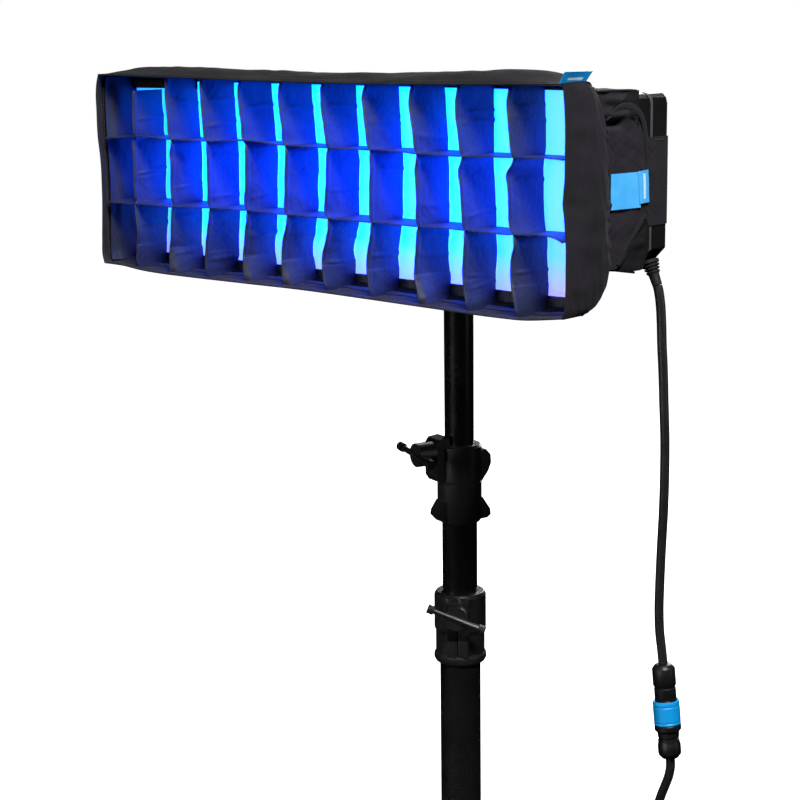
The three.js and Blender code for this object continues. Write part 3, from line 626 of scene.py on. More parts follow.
socket_profile = [(3.7, -0.2), (6.0, 0), (6.5, 0.3), (8.3, 2.6), (8.6, 3.4), (8.6, 15.4), (8.2, 16.2),
                  (7.7, 16.6), (7.7, 17.6), (8.1, 18), (8.1, 26.2), (7.8, 26.9), (8.0, 27.2), (8.0, 44)]
plug_profile = [(8.0, 45.8), (9.6, 45.8), (9.9, 46.2), (9.9, 49.6), (9.4, 50.2), (8.1, 51.2), (8.0, 55),
                (7.4, 55.5), (7.4, 56.6), (8.0, 57), (8.1, 60), (8.6, 61), (8.6, 67.6), (8.2, 68.7),
                (6.2, 71.2), (5.8, 71.4), (3.7, 71.5)]
ring_profile = [(8.5, 27.6), (9.4, 27.3), (9.9, 27.7), (10.0, 28.6), (10.0, 30.2), (9.7, 30.6),
                (9.7, 31.4), (10.0, 31.8), (10.0, 42.6), (9.7, 43), (9.7, 43.6), (10.0, 44), (10.0, 45),
                (9.6, 45.5), (8.5, 45.4), (8.5, 27.6)]
joint_axis = JOINT_END - JOINT_TOP
socket = piece("connector_socket_shell", *turned(socket_profile, JOINT_TOP, joint_axis, 40), "panel",
               "riser_2", "panel_plastic", ["connector_socket"])
plug = piece("connector_plug_shell", *turned(plug_profile, JOINT_TOP, joint_axis, 40,
                                             grooves(10, 0.05, 61.5, 67)), "panel",
             "riser_2", "panel_plastic", ["connector_plug"])
piece("locking_ring_fluted", *turned(ring_profile, JOINT_TOP, joint_axis, 96,
                                     grooves(24, 0.035, 32, 42.5)), "ring",
             "locking_ring", "ring_blue", ["locking_ring"])
far_profile = [(3.7, -0.2), (6.0, 0), (8.3, 2.6), (8.6, 3.4), (8.6, 21.5), (8.1, 22.4), (8.1, 29.6),
               (7.7, 30), (7.0, 30.2), (7.0, 39.6), (6.6, 40), (5.6, 40), (5.6, 37)]
far_plug = piece("far_plug_shell", *turned(far_profile, PLUG_FROM, PLUG_TO - PLUG_FROM, 40,
                                           grooves(10, 0.05, 5, 20)), "panel",
                 "root", "panel_plastic", ["far_plug"])

hang_1, hang_2 = drop_path[:CHANGE_1 + 1], drop_path[CHANGE_1:]
hang_3, floor_lead = floor_path[:CHANGE_2 + 1], floor_path[CHANGE_2:]
lead_1 = lead_piece("lead_below_panel", hang_1, ["lead_stub"])
lead_2 = lead_piece("lead_above_connector", hang_2, ["lead_upper"])
lead_3 = lead_piece("lead_below_connector", hang_3, ["lead_lower"])
lead_4 = lead_piece("lead_to_floor_and_coil", floor_lead,
                    ["lead_coil", "lead_tail"])
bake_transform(lead_1)
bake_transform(lead_2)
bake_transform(lead_3)
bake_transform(lead_4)

# ---- softbox walls -------------------------------------------------------------------------------

rim_low, rim_high = mm_box("rim_shell")
panel_low, panel_high = mm_box("panel_frame")
back_low, back_high = mm_box("rear_housing")
diff_low, diff_high = mm_box("front_diffuser")
HALF = rim_high[0]
FRONT, RIM_BACK = rim_low[1], rim_high[1]
BOTTOM, TOP = rim_low[2], rim_high[2]
SEAM, PANEL_BACK = back_low[1], back_high[1]
PANEL_HALF = panel_high[0]

wide_folds = ripples(3, 9, 45, 150)
small_folds = ripples(8, 14, 9, 34)
tiny_folds = ripples(21, 12, 4, 11)

# How the cloth's edges stray from straight lines: x and rise along the top and the bottom,
# z and the way outward up the ends.
TOP_EDGE = ([-250, -163, 49, 148, 215, 250], [0.2, -0.9, -2.7, -1.9, -0.9, 0])
TOP_RIDGE = ([-250, -244, -231, -198, -150, -93, -47, 19, 102, 150, 196, 223, 242, 250],
             [0, 1.6, 4.3, 6.2, 6.3, 5.5, 3.9, 3.9, 5.1, 6.9, 8.3, 6.8, 2.4, 0.6])
LOW_EDGE = ([-250, -223, -205, -175, -144, -70, -9, 60, 130, 194, 215, 238, 250],
            [0.2, -0.3, -1.9, -2.9, -2.9, -2.4, -1.9, -2.6, -3.6, -4.3, -3.9, -1.4, 0.2])
END_EDGES = {
    1: ([840, 846, 857, 875, 890, 900, 911, 919, 926, 936, 950, 980, 992, 1000],
        [0.6, 2.6, 3.6, 3.8, 3.8, 3.0, 2.0, 0.9, 1.4, 2.4, 2.6, 2.4, 1.4, 0.4]),
    -1: ([840, 846, 860, 878, 895, 908, 920, 932, 947, 970, 985, 994, 1000],
         [1.0, 3.2, 3.2, 2.0, 1.0, 0.8, 0.8, 1.6, 3.6, 4.0, 3.9, 2.2, 0.0]),
}


# Depths where the rim's cloth turns down towards the panel, and where it ends over the panel's front.
RIDGE_Y, WALL_END = -146, -97.6
SLEEVE_TOP, SLEEVE_LOW = 993.8, 864.6
GUSSET_LOW, GUSSET_HIGH = 868.2, 993.2


def wall_grid(nu, nv):
    return np.meshgrid(np.linspace(0, 1, nu), np.linspace(0, 1, nv), indexing="ij")


def reach_at(y):
    """Half the width of the top and bottom cloth: drawn in behind the end walls, then out over the panel."""
    return HALF - 5.0 * span(y, RIDGE_Y, -132) + 10.0 * span(y, -119, -97)


def top_surface():
    """From the front edge up over the ridge and down to a flat sleeve over the panel's front."""
    u, v = wall_grid(260, 44)
    y = np.interp(v, [0, 0.4, 0.62, 1], [FRONT, RIDGE_Y, -131, WALL_END])
    x = (2 * u - 1) * reach_at(y)
    edge = TOP + curve_through(*TOP_EDGE, x)
    ridge = TOP + curve_through(*TOP_RIDGE, x)
    z = edge + (ridge - edge) * np.sin(np.clip((y - FRONT) / (RIDGE_Y - FRONT), 0, 1) * math.pi / 2) ** 1.1
    z = z + (SLEEVE_TOP - z) * span(y, -147, -129)
    inside = np.minimum(span(np.abs(x), 250, 236), 1)
    z += inside * span(y, FRONT, -160) * (1.0 * wide_folds(x, y * 2) + 0.35 * small_folds(x, y))
    z += 0.5 * span(y, -135, -125) * small_folds(x + 70, y)
    return np.stack([x, y, z], axis=2)


def bottom_surface():
    u, v = wall_grid(260, 44)
    y = np.interp(v, [0, 0.38, 0.7, 1], [FRONT, RIDGE_Y, -119, WALL_END])
    x = (2 * u - 1) * reach_at(y)
    edge = BOTTOM + curve_through(*LOW_EDGE, x)
    z = edge + 0.9 * span(y, FRONT, RIDGE_Y)
    z = z + (SLEEVE_LOW - z) * curve_through([RIDGE_Y, -137.5, -129.5, -123.6, -119.5, -97],
                                             [0, 0.1, 0.32, 0.64, 0.97, 1], y)
    inside = np.minimum(span(np.abs(x), 250, 236), 1)
    z += inside * span(y, FRONT, -160) * (0.8 * wide_folds(x + 40, y * 2) + 0.35 * small_folds(x, y + 30))
    return np.stack([x, y, z], axis=2)


# Where the end wall's cloth stops behind, as (y, z), from the lower corner to the upper one.
BACK_CURVE = [(-149.5, 840.2), (-140.5, 842.4), (-130, 847.6), (-123.6, 855.0), (-119.8, 868.5),
              (-119.6, 885), (-120.9, 906.3), (-122.0, 922), (-122.4, 936), (-122.6, 948), (-123.2, 960.6),
              (-124.2, 974.8), (-127, 986), (-132.5, 994.3), (-140, 998.9), (-150, 1000.4)]


def end_surface(side, seed):
    """The end wall: from the front rim, puffed out in the middle, rounding in to a gathered seam."""
    u, v = wall_grid(240, 64)
    curve = through([(y, z, 0) for y, z in BACK_CURVE], 0.5)
    s = np.linspace(0, 1, len(curve))
    back_y, back_z = np.interp(u, s, curve[:, 0]), np.interp(u, s, curve[:, 1])
    front_z = BOTTOM + (TOP - BOTTOM) * u
    y = FRONT + (back_y - FRONT) * v
    z = front_z + (back_z - front_z) * v ** 1.35
    rng = random.Random(seed)
    middle = span(z, 872, 892) * span(z, 972, 955)
    bulge = 9.0 * np.sin(math.pi * np.clip(u, 0, 1)) ** 0.8 * np.sin(math.pi
                                                                     * np.clip(v, 0, 1) ** 1.35) ** 0.85
    tuck = -6.8 * span(y, -150, -139) * span(v, 0.86, 1.0) ** 1.2
    folds = np.zeros_like(u)
    for _ in range(34):
        centre, width = rng.uniform(870, 978), rng.uniform(1.6, 3.8)
        reach, lean = rng.uniform(0.10, 0.34), rng.uniform(-36, 36)
        height = rng.uniform(1.2, 2.9) * rng.choice([1, 1, -0.9])
        line = (z - centre - lean * (1 - v)) / width
        folds += height * np.exp(-line ** 2) * span(v, 1 - reach, 0.985)
    wide = 1.9 * wide_folds(z + 17 * seed, y * 1.5) + 0.9 * small_folds(z, y * 1.5)
    calm = span(np.minimum(u, 1 - u), 0, 0.06) * span(v, 0, 0.3)
    stray = curve_through(*END_EDGES[side], z) * span(v, 0.9, 0.0)
    x = HALF + stray + bulge + tuck + folds * (0.35 + 0.65 * middle) * (1 - 0.4
            * span(v, 0.97, 1)) + calm * wide
    return np.stack([side * x, y, z], axis=2)


def hem_thickness(surface, body=1.1, front=1.7, back=1.6, width=(5.0, 4.0)):
    """Thicker where the cloth is folded over at its front and back edges."""
    y = surface[..., 1]
    from_front = y - y[:, :1]
    from_back = y[:, -1:] - y
    thick = body + (front - body) * span(from_front, width[0] + 0.8, width[0] - 0.2)
    thick = thick - 0.9 * span(from_front, 1.2, 0.0)
    return thick + (back - body) * span(from_back, width[1] + 0.8, width[1] - 0.2)


def inner_hem(surface, depth):
    """Indices of the inner faces of cloth_layers that lie within depth of the front edge."""
    nu, nv = surface.shape[:2]
    near = surface[:-1, :-1, 1] - FRONT < depth
    return [2 * (i * (nv - 1) + j) + 1 for i in range(nu - 1) for j in range(nv - 1) if near[i, j]]


top = top_surface()
bottom = bottom_surface()
right_end, left_end = end_surface(1, 5), end_surface(-1, 9)
# The top cloth wears the darker copy of the softbox cloth: painted shade.
sheet("top_cloth", top, hem_thickness(top), "top_cloth", "head", (500, 84), "softbox_fabric",
      rests_on=["rim_hoop"], replaces=["top_wall", "rim_shell"], second="binding",
      second_faces=inner_hem(top, 3.5))
sheet("bottom_cloth", bottom, hem_thickness(bottom), "softbox", "head", (500, 92), "softbox_fabric",
      rests_on=["rim_hoop"], replaces=["bottom_wall", "rim_shell"], flip=True, second="binding",
      second_faces=inner_hem(bottom, 3.0))
sheet("end_cloth_right", right_end, hem_thickness(right_end), "softbox", "head", (164, 62),
      "softbox_fabric", "gathered",
      ["rim_hoop"], ["end_wall_right"], flip=True, area=8600, second="binding",
      second_faces=inner_hem(right_end, 6.5))
sheet("end_cloth_left", left_end, hem_thickness(left_end), "softbox", "head", (164, 62), "softbox_fabric",
      "gathered",
      ["rim_hoop"], ["end_wall_left"], area=8600, second="binding", second_faces=inner_hem(left_end, 6.5))

# ---- gussets, ears and their bindings at both ends -----------------------------------------------


def gusset_x(y):
    return 244.2 + 11.9 * span(y, -119, -96.5)


def gusset_surface(side, seed):
    """The gathered cloth behind the end wall. Its lower half reaches back over the panel's frame."""
    u, v = wall_grid(130, 44)
    z = GUSSET_LOW + (GUSSET_HIGH - GUSSET_LOW) * u
    end = -96.4 + 13.8 * span(z, 970, 940) - 6 * span(z, 884, 868)
    y = -134 + (end + 134) * v
    fold = ripples(seed, 10, 7, 22)
    free = span(y, -128, -118) * span(y, end, end - 9)
    x = gusset_x(y) + 1.6 * fold(z, y * 0.35) * free + 1.1 * wide_folds(z * 2, y * 3) * free
    x -= 1.6 * span(z, 896, 908) * span(z, 978, 968)
    x += 2.4 * np.exp(-(((z - 976) / 3.6) ** 2)) * free - 4.0 * np.exp(-(((z - 967.5) / 3.2) ** 2)) * free
    z = z - 1.6 * np.sin(math.pi * np.clip((y + 126) / 46, 0, 1)) * span(u, 0.12, 0)
    return np.stack([side * x, y, z], axis=2)


EAR_TOP = ([-121, -117, -112, -107.6, -102.9, -97.6, -94.1, -91.3, -88.6, -87.2, -85.6, -84, -82, -78, -62],
           [973, 978.5, 983.2, 985.0, 984.4, 981.8, 979.0, 975.8, 971.2, 966.4, 961.0, 960, 959.9, 959.9,
            959.9])
EAR_LOW = ([-121, -117, -112, -108.7, -106.2, -100.8, -93.4, -89, -87, -85, -83.5, -81, -78, -62],
           [868.6, 868.8, 869.8, 874.1, 880.1, 888.9, 898.2, 902.6, 903, 899.6, 897.8, 897.5, 897.4, 897.4])
STRAP_BEND = 1.6


def ear_x(y):
    """How far out the ear lies: rising off the gathers, then flat on the panel's end."""
    return 247.2 + (PANEL_HALF + 1.0 - 247.2) * span(y, -126, -93)


def ear_surface(side, seed):
    u, v = wall_grid(110, 112)
    flat_end = PANEL_BACK + 0.6 - STRAP_BEND
    along = np.concatenate([np.linspace(-121, flat_end, 76), np.full(36, flat_end)])
    path_y = np.interp(v, np.linspace(0, 1, 112), along)
    turn = np.clip((v * 111 - 75) / 8, 0, 1)
    tuck = np.clip((v * 111 - 83) / 28, 0, 1)
    low, high = curve_through(*EAR_LOW, path_y), curve_through(*EAR_TOP, path_y)
    z = low + (high - low) * u
    bend = np.radians(90 * turn)
    x = ear_x(path_y) + STRAP_BEND * (np.cos(bend) - 1) * (turn > 0) - 38 * tuck
    y = path_y + STRAP_BEND * np.sin(bend)
    fold = ripples(seed, 9, 14, 48)
    free = span(path_y, -66, -84) * span(np.minimum(u, 1 - u), 0, 0.12)
    x += free * (1.0 * fold(z, path_y) + 0.3 * tiny_folds(z, path_y)) + 0.15 * small_folds(z,
            path_y) * (turn == 0)
    x -= 5.5 * np.exp(-(((z - 970.2) / 2.2) ** 2)) * span(path_y, -107, -113)
    x += 2.0 * np.exp(-(((z - 976.8) / 2.8) ** 2)) * span(path_y, -98, -110)
    return np.stack([side * x, y, z], axis=2)


def ear_thickness(surface):
    """Folded hems along the upper and lower edges of the strap."""
    z = surface[..., 2]
    low, high = z[:1], z[-1:]
    edge = np.minimum(z - low, high - z)
    return 1.0 + 0.7 * span(edge, 5.2, 4.2)


BINDING_ARC = [(-118, 975.5), (-112.5, 980.6), (-107.2, 982.4), (-102.4, 981.9), (-98.6, 979.8),
               (-95.8, 977.4), (-93.3, 974.6), (-91.0, 970.4), (-89.6, 965.8), (-88.4, 958.5),
               (-86.4, 945), (-85.8, 930), (-85.2, 912), (-84.8, 899.5)]


def binding_path(side, points, lift):
    path = through([(0, y, z) for y, z in points], 1.0)
    path[:, 0] = side * (ear_x(path[:, 1]) + lift)
    return path


for side, end in ((1, "right"), (-1, "left")):
    gusset = gusset_surface(side, 31 + side)
    y, z = gusset[:-1, :-1, 1], gusset[:-1, :-1, 2]
    # Gusset faces in the dark hook-and-loop cloth: low at the back this is painted shade; at the top it
    # stands in for the dark panel behind the gap.
    painted_shade_and_panel_dark = ((z < 906) & (y > -110)) | ((z > 975) & (y > -108.9 + 0.85 * (z - 985.6)))
    dark = [2 * k + layer for k in np.flatnonzero(painted_shade_and_panel_dark) for layer in (0, 1)]
    sheet(f"gusset_{end}", gusset, 1.0, "softbox", "head", (130, 38), "softbox_fabric", "gathered",
          [f"end_cloth_{end}"], flip=side > 0, second="hook_loop", second_faces=dark)
    ear = ear_surface(side, 41 + side)
    sheet(f"ear_cloth_{end}", ear, ear_thickness(ear), "softbox", "head", (96, 104), "softbox_fabric",
          "stretched", ["rear_housing"], [f"ear_{end}"], flip=side > 0, area=7900)
    arc = binding_path(side, BINDING_ARC, 0.3)
    half_width = 0.8 + 1.8 * span(arc[:, 2], 950, 962)
    on_box(f"ear_binding_top_{end}", sweep(arc, half_width, 14, (1.0, 0.3), up=(side, 0, 0)), "softbox")
    low_edge = binding_path(side, [(y, z + 1.6) for y, z in zip(*EAR_LOW) if -113 < y < -86], 0.4)
    on_box(f"ear_binding_low_{end}", sweep(low_edge, 1.9, 12, (1.0, 0.3), up=(side, 0, 0)), "softbox")
    strap_top = [(side * (ear_x(-78) + 0.35), y, 957.6) for y in (-80, -74, -68, -64)]
    on_box(f"strap_stitches_{end}", stitches(strap_top, (side, 0, 0)), "thread")
    seam_line = [(side * 250.2, y + 5.2, z) for y, z in [(FRONT, 846 + 12 * i) for i in range(13)]]
    on_box(f"rim_stitches_{end}", stitches(seam_line, (side, 0, 0)), "thread")

for name, source, column, lift in (("top", top, 3, 1), ("bottom", bottom, 3, -1)):
    line = source[6:-6:6, column] + np.array([0, 0, 0.05 * lift])
    on_box(f"rim_stitches_{name}", stitches(line, (0, 0, lift)), "thread")

# ---- inside the rim: hoop casing, hook-and-loop strips, binding of the diffuser ------------------

hoop_low = mm_box("rim_hoop")[0]


def band_inside(wall, flip, y0, y1, lift, thick):
    """A strip of cloth on the inside of a wall between two depths, lift above its face."""
    normal = grid_normals(wall) * (-1 if flip else 1)
    depths = np.linspace(y0, y1, 6)
    rise = lift + thick * np.array([0.4, 1, 1, 1, 1, 0.4])
    surface = np.zeros((len(wall), 6, 3))
    for i in range(len(wall)):
        held = np.minimum(depths, wall[i, -1, 1] - np.linspace(1.5, 1.0, 6))
        for k in range(3):
            surface[i, :, k] = (np.interp(held, wall[i, :, 1], wall[i, :, k])
                                - rise * np.interp(held, wall[i, :, 1], normal[i, :, k]))
        surface[i, :, 1] = held
    return cloth_layers(surface, rise - lift + 0.3, not flip)


def all_round(name, y0, y1, lift, thick, material, slot, replaces=()):
    parts = [band_inside(top, False, y0, y1, lift, thick), band_inside(bottom, True, y0, y1, lift, thick),
             band_inside(right_end, True, y0, y1, lift, thick),
             band_inside(left_end, False, y0, y1, lift, thick)]
    points, faces = joined(parts)
    obj = piece(name, points, faces, material, "head", slot, replaces, 50)


# The hoop casing wears the grid cloth, whose navy tint is painted blue light.
all_round("hoop_casing", hoop_low[1] - 1.4, RIM_BACK - 1.0, 1.1, 1.3, "grid", "softbox_fabric",
          ["rim_hoop"])
all_round("velcro_tape", RIM_BACK - 0.8, RIM_BACK + 9.8, 1.1, 1.0, "hook_loop", "softbox_fabric")


def height_inside(wall, x, y):
    """The height of the top or bottom cloth at each x, at one depth."""
    heights = np.array([np.interp(y, line[:, 1], line[:, 2]) for line in wall])
    return np.interp(x, wall[:, 0, 0], heights)


def diffuser():
    u, v = wall_grid(150, 50)
    reach = diff_high[0] + 1.2
    x = -reach + 2 * reach * u
    low, high = 848.9 + 0.6 * wide_folds(x, 3), 994.2
    z = low + (high - low) * v
    inner = span(np.minimum(u, 1 - u), 0, 0.03) * span(np.minimum(v, 1 - v), 0, 0.1)
    y = diff_low[1] + 0.3 + inner * (1.0 + 0.8 * wide_folds(x, z))
    points, faces = cloth_layers(np.stack([x, y, z], axis=2), 0.6)
    front = list(range(0, 2 * 149 * 49, 2))
    obj = piece("diffuser_cloth", points, faces, "diffusion", "head", "diffusion_cloth",
                ["front_diffuser"], 50, second="glow", second_faces=front)
    for name, z_from, z_to in (("diffuser_hem_top", high - 0.4, None),
                               ("diffuser_hem_bottom", None, 849.6)):
        a, b = wall_grid(150, 6)
        hem_x = -reach + 2 * reach * a
        if z_to is None:
            lower, upper = np.full(150, z_from), height_inside(top, hem_x[:, 0], diff_low[1]) - 1.0
        else:
            lower = height_inside(bottom, hem_x[:, 0], diff_low[1]) + 1.0
            upper = np.full(150, z_to) + 0.6 * wide_folds(hem_x[:, 0], 3)
        hem_z = lower[:, None] + (upper - lower)[:, None] * b
        hem_y = np.full_like(hem_z, diff_low[1] - 0.5)
        on_box(name, cloth_layers(np.stack([hem_x, hem_y, hem_z], axis=2), 1.5), "grid")
    for side in (-1, 1):
        a, b = wall_grid(60, 4)
        surface = np.stack([side * (reach - 3.4 + 4.2 * b), np.full_like(a, diff_low[1] - 0.5),
                            846 + 148 * a], axis=2)
        end = "right" if side > 0 else "left"
        on_box(f"diffuser_hem_{end}", cloth_layers(surface, 1.5, side > 0), "grid")
    # A dark patch over the top of the first two cells: painted shade, covering the glowing cloth where the
    # strips' tops throw shadow.
    a, b = wall_grid(40, 6)
    patch_x = -HALF + 2.6 + 84.5 * a
    patch_z = 987.6 + 0.6 * a + (996.6 - 987.6) * b
    patch = np.stack([patch_x, np.full_like(a, diff_low[1] - 2.4), patch_z], axis=2)
    on_box("diffuser_corner_shade_patch", cloth_layers(patch, 0.8), "hook_loop")


diffuser()

# ---- egg-crate grid ------------------------------------------------------------------------------

first_low, first_high = mm_box("grid_upright_1")
GRID_FRONT, GRID_BACK = first_low[1], first_high[1]
ROW_Z = [sum(v[2] for v in mm_box(f"grid_row_{i}")) / 2 for i in (1, 2)]
DIVIDER_X = [sum(v[0] for v in mm_box(f"grid_upright_{i}")) / 2 for i in range(1, 11)]
CLOTH = 0.7

# Sideways stray of each upright's front and back edge, in millimetres, at these heights.
STRAY_Z = [994, 986, 975, 963, 951, 944.5, 938, 927, 913, 899, 890, 879, 868, 858, 842]
UPRIGHT_FRONT = [
    [-0.1, -0.1, -0.2, -0.3, -0.4, -2.1, -2.0, -1.8, -1.9, -2.1, -1.8, -0.5, 0.5, -1.0, -2.4],
    [-3.5, -3.5, -2.9, -1.8, -0.9, 1.2, 0.3, 0.7, -0.4, -0.1, -0.3, -1.3, -2.2, -4.2, -5.0],
    [-6.5, -6.0, -5.0, -4.0, -3.0, -0.2, 0.0, -0.1, 0.0, -0.7, 0.6, -1.7, -4.0, -5.7, -5.9],
    [-6.5, -6.8, -5.7, -3.9, -3.1, -0.2, 0.3, -0.5, -1.0, -2.3, -0.5, -2.4, -4.3, -5.5, -5.4],
    [-5.6, -6.5, -5.4, -3.3, -2.6, 0.1, 0.1, -1.0, -1.6, -2.2, -0.1, -3.8, -5.8, -6.8, -6.0],
    [-5.8, -5.8, -5.1, -2.6, -0.9, -0.5, -0.7, -1.3, -2.4, -3.6, -0.4, -3.0, -6.5, -7.4, -5.5],
    [-6.2, -8.0, -6.6, -4.7, -3.1, -1.0, -0.7, -1.1, -1.7, -1.7, -0.9, -2.8, -5.2, -5.6, -3.0],
    [-5.1, -6.2, -5.3, -3.0, -1.6, 0.0, -0.9, -0.3, -0.0, -0.5, 0.2, -0.8, -2.0, -2.4, 1.2],
    [-5.5, -7.4, -6.8, -4.9, -3.3, -1.8, -4.7, -3.3, -2.1, -1.2, 0.6, -0.3, -1.2, -1.1, 2.3],
    [-4.3, -5.3, -4.6, -3.2, -1.8, -1.1, -5.3, -4.6, -3.8, -2.7, 0.9, -1.3, -2.4, -1.1, 2.3],
]
UPRIGHT_BACK = [
    [-1.9, -1.9, -2.1, -0.8, -0.8, 1.4, 1.2, 0.7, -0.5, -1.0, 1.3, 0.3, -1.3, -2.5, -3.5],
    [-2.4, -2.1, -1.7, -1.1, -0.2, 0.6, 1.0, 0.9, -0.1, 0.6, -1.0, -1.4, -2.4, -2.9, -4.3],
    [-2.3, -2.6, -2.1, -1.3, -0.5, 0.5, 0.7, 0.6, 0.4, 0.3, 0.4, -0.5, -1.5, -1.7, -6.5],
    [-4.1, -3.7, -2.5, -1.3, -0.2, 1.0, 1.4, 1.0, -0.0, 0.1, -0.9, -2.0, -4.2, -4.4, -6.0],
    [-4.1, -4.0, -2.6, -1.3, -0.3, 1.5, 2.1, 1.6, 0.7, 1.1, -1.0, -3.3, -6.2, -6.1, -6.5],
    [-1.4, -1.0, -0.8, 0.1, 0.9, 0.3, 1.3, 0.7, -0.0, 0.1, -0.3, -3.9, -6.8, -5.1, -6.0],
    [-2.3, -1.9, -1.5, -0.8, -0.1, 1.1, 1.3, 0.8, 0.4, 0.5, -0.9, -3.1, -5.0, -4.4, -5.2],
    [-1.9, -1.2, -0.5, 0.4, 0.8, 1.0, 1.6, 1.7, 1.6, 1.8, 1.3, 0.7, 1.0, 2.0, -3.0],
    [-0.3, -0.3, -0.2, -0.2, -0.3, -0.8, -0.4, 0.3, 1.1, 1.9, 1.5, 2.4, 1.7, 0.5, 1.0],
    [0.8, 1.0, 1.6, 1.8, 1.6, 0.1, -0.3, 0.1, 0.2, 1.6, 3.4, 3.3, 3.9, 4.5, 3.0],
]
# The front edges of the two rows as (x, z).
ROW_LINES = [
    ([-250, -214, -165, -120, -75, -27, 40, 100, 150, 197, 228, 238, 246, 252],
     [891.7, 892.6, 892.6, 894.5, 895.2, 894.8, 894.6, 894.7, 895.0, 894.6, 895.8, 895.4, 893.2, 889.5]),
    ([-250, -210, -162, -120, -75, -29, 40, 97, 123, 156, 200, 239, 252],
     [945.4, 948.9, 947.9, 948.0, 950.3, 948.3, 948.0, 948.1, 947.0, 947.2, 948.3, 948.9, 948.4]),
]


def stray(values, z):
    """Eased within a cell, and quick from cell to cell."""
    order = np.argsort(STRAY_Z)
    return curve_through(np.array(STRAY_Z)[order], np.array(values)[order], z)


def upright_surface(index):
    """One upright strip. Its front edge wanders between the rows, and is drawn in where it crosses them."""
    rng = random.Random(100 + index)
    u, v = wall_grid(170, 26)
    low = np.interp(DIVIDER_X[index], bottom[:, 0, 0], bottom[:, 2, 2]) + 1.7
    high = np.interp(DIVIDER_X[index], top[:, 0, 0], top[:, 2, 2]) - 1.9
    if index == 0:
        high = 987.0
    z = low + (high - low) * u
    y = GRID_FRONT + (GRID_BACK - 0.4 - GRID_FRONT) * v
    front, back = stray(UPRIGHT_FRONT[index], z), stray(UPRIGHT_BACK[index], z)
    x = DIVIDER_X[index] + front + (back - front) * v
    fold = np.zeros_like(u)
    for a, b in zip([low, *ROW_Z], [*ROW_Z, high]):
        t = np.clip((z - a) / (b - a), 0, 1)
        inside = (z >= a) & (z <= b)
        bow = rng.uniform(0.4, 1.8) * rng.choice([1, 1, -1])
        shape = bow * np.sin(math.pi * v) * np.sin(math.pi * t) ** 0.6
        for _ in range(rng.choice([1, 1, 2])):
            centre, width, slant = rng.uniform(a + 7, b - 7), rng.uniform(0.9, 2.2), rng.uniform(-5, 5)
            shape = shape + rng.uniform(0.4, 1.0) * np.exp(-((z - centre - slant
                                                              * (v - 0.5)) / width) ** 2) * span(v, 0.0,
                                                                      0.3)
        fold += np.where(inside, shape * np.sin(math.pi * t) ** 0.3, 0)
        y += np.where(inside, 1.6 * np.exp(-((np.minimum(t, 1 - t) * (b - a) / 2.4) ** 2)),
                      0) * (1 - v) ** 2
    loose = 1 - 0.5 * v
    x += fold + (0.35 * small_folds(z + 37 * index, y) + 0.15 * tiny_folds(z, y + 11 * index)) * loose
    if index in (1, 3, 4, 7):
        x += 0.24 * np.maximum(858.5 + 1.5 * (index % 3) - z, 0) * span(v, 0, 0.15)
    return np.stack([x, y, z], axis=2)


def row_surface(index):
    u, v = wall_grid(320, 18)
    reach = HALF - 2.2
    x = -reach + 2 * reach * u
    y = GRID_FRONT + 0.5 + (GRID_BACK - 0.6 - GRID_FRONT) * v
    front = curve_through(*ROW_LINES[index], x)
    back = ROW_Z[index] + 0.4 * wide_folds(x, 50 * index)
    z = front + (back - front) * v ** 0.8
    z += (0.3 * small_folds(x, y) + 0.15 * tiny_folds(x, y)) * (1 - v)
    return np.stack([x, y, z], axis=2)


def strip_thickness(surface):
    """The front edge is folded over and sewn, and so is the foot of an upright strip."""
    from_front = surface[..., 1] - surface[:, :1, 1]
    thick = CLOTH + 0.4 * span(from_front, 3.4, 2.8) - 0.6 * span(from_front, 1.2, 0)
    if surface[0, 0, 2] < BOTTOM + 10:
        thick = thick + 0.4 * span(surface[..., 2], 859.2, 858.2)
    return thick


for i in range(10):
    strip = upright_surface(i)
    sheet(f"grid_strip_upright_{i + 1}", strip, strip_thickness(strip), "grid", "head", (34, 156),
          "grid_fabric", "stretched", ["grid_strip_row_1"], [f"grid_upright_{i + 1}"])
for i in range(2):
    strip = row_surface(i)
    sheet(f"grid_strip_row_{i + 1}", strip, strip_thickness(strip), "grid", "head", (495, 34),
          "grid_fabric", "stretched", ["hoop_casing"], [f"grid_row_{i + 1}"], flip=True)


def liner_surface(side):
    """The end strip of the grid, held against the end wall."""
    u, v = wall_grid(120, 24)
    z = BOTTOM + 2.6 + (TOP - BOTTOM - 5.2) * u
    y = -166.3 + (GRID_BACK + 166.3 - 0.5) * v
    stray_out = curve_through(*END_EDGES[side], z) * span(y, -150, FRONT)
    x = HALF - 3.4 + stray_out + 1.2 * span(y, -156, -163) + 0.7 * wide_folds(z * 1.4 + 90, y * 3)
    x += 0.5 * small_folds(z + 0.8 * y, y)
    return np.stack([side * np.minimum(x, HALF - 2.2 + stray_out), y, z], axis=2)


for side, end in ((1, "right"), (-1, "left")):
    liner = liner_surface(side)
    sheet(f"grid_liner_{end}", liner, 0.8, "grid", "head", (28, 155), "grid_fabric", "stretched",
          ["hoop_casing"], flip=side > 0)

# ---- sewn labels ---------------------------------------------------------------------------------


def label(name, surface, material, stripe, replaces, flip=False):
    """stripe is (first row, last row, first column, last column) of the cells that are woven pale."""
    nv = surface.shape[1]
    points, faces = cloth_layers(surface, 0.45, flip)
    pale = [2 * (i * (nv - 1) + j) + side for i in range(stripe[0], stripe[1])
            for j in range(stripe[2], stripe[3])
            for side in (0, 1)]
    obj = piece(name, points, faces, material, "head", "label_blue", replaces, 50, second="pale_stripe",
                second_faces=pale)


def top_label_surface():
    u, v = wall_grid(40, 20)
    y = -172.8 + 27.4 * u + (2.2 + 2.9 * u) * v
    x = 246.4 + 3.0 * v + 0.35 * np.sin(2 * math.pi * u) * v
    z = TOP - 0.6 + 8.3 * v - 0.4 * u
    return np.stack([x, y, z], axis=2)


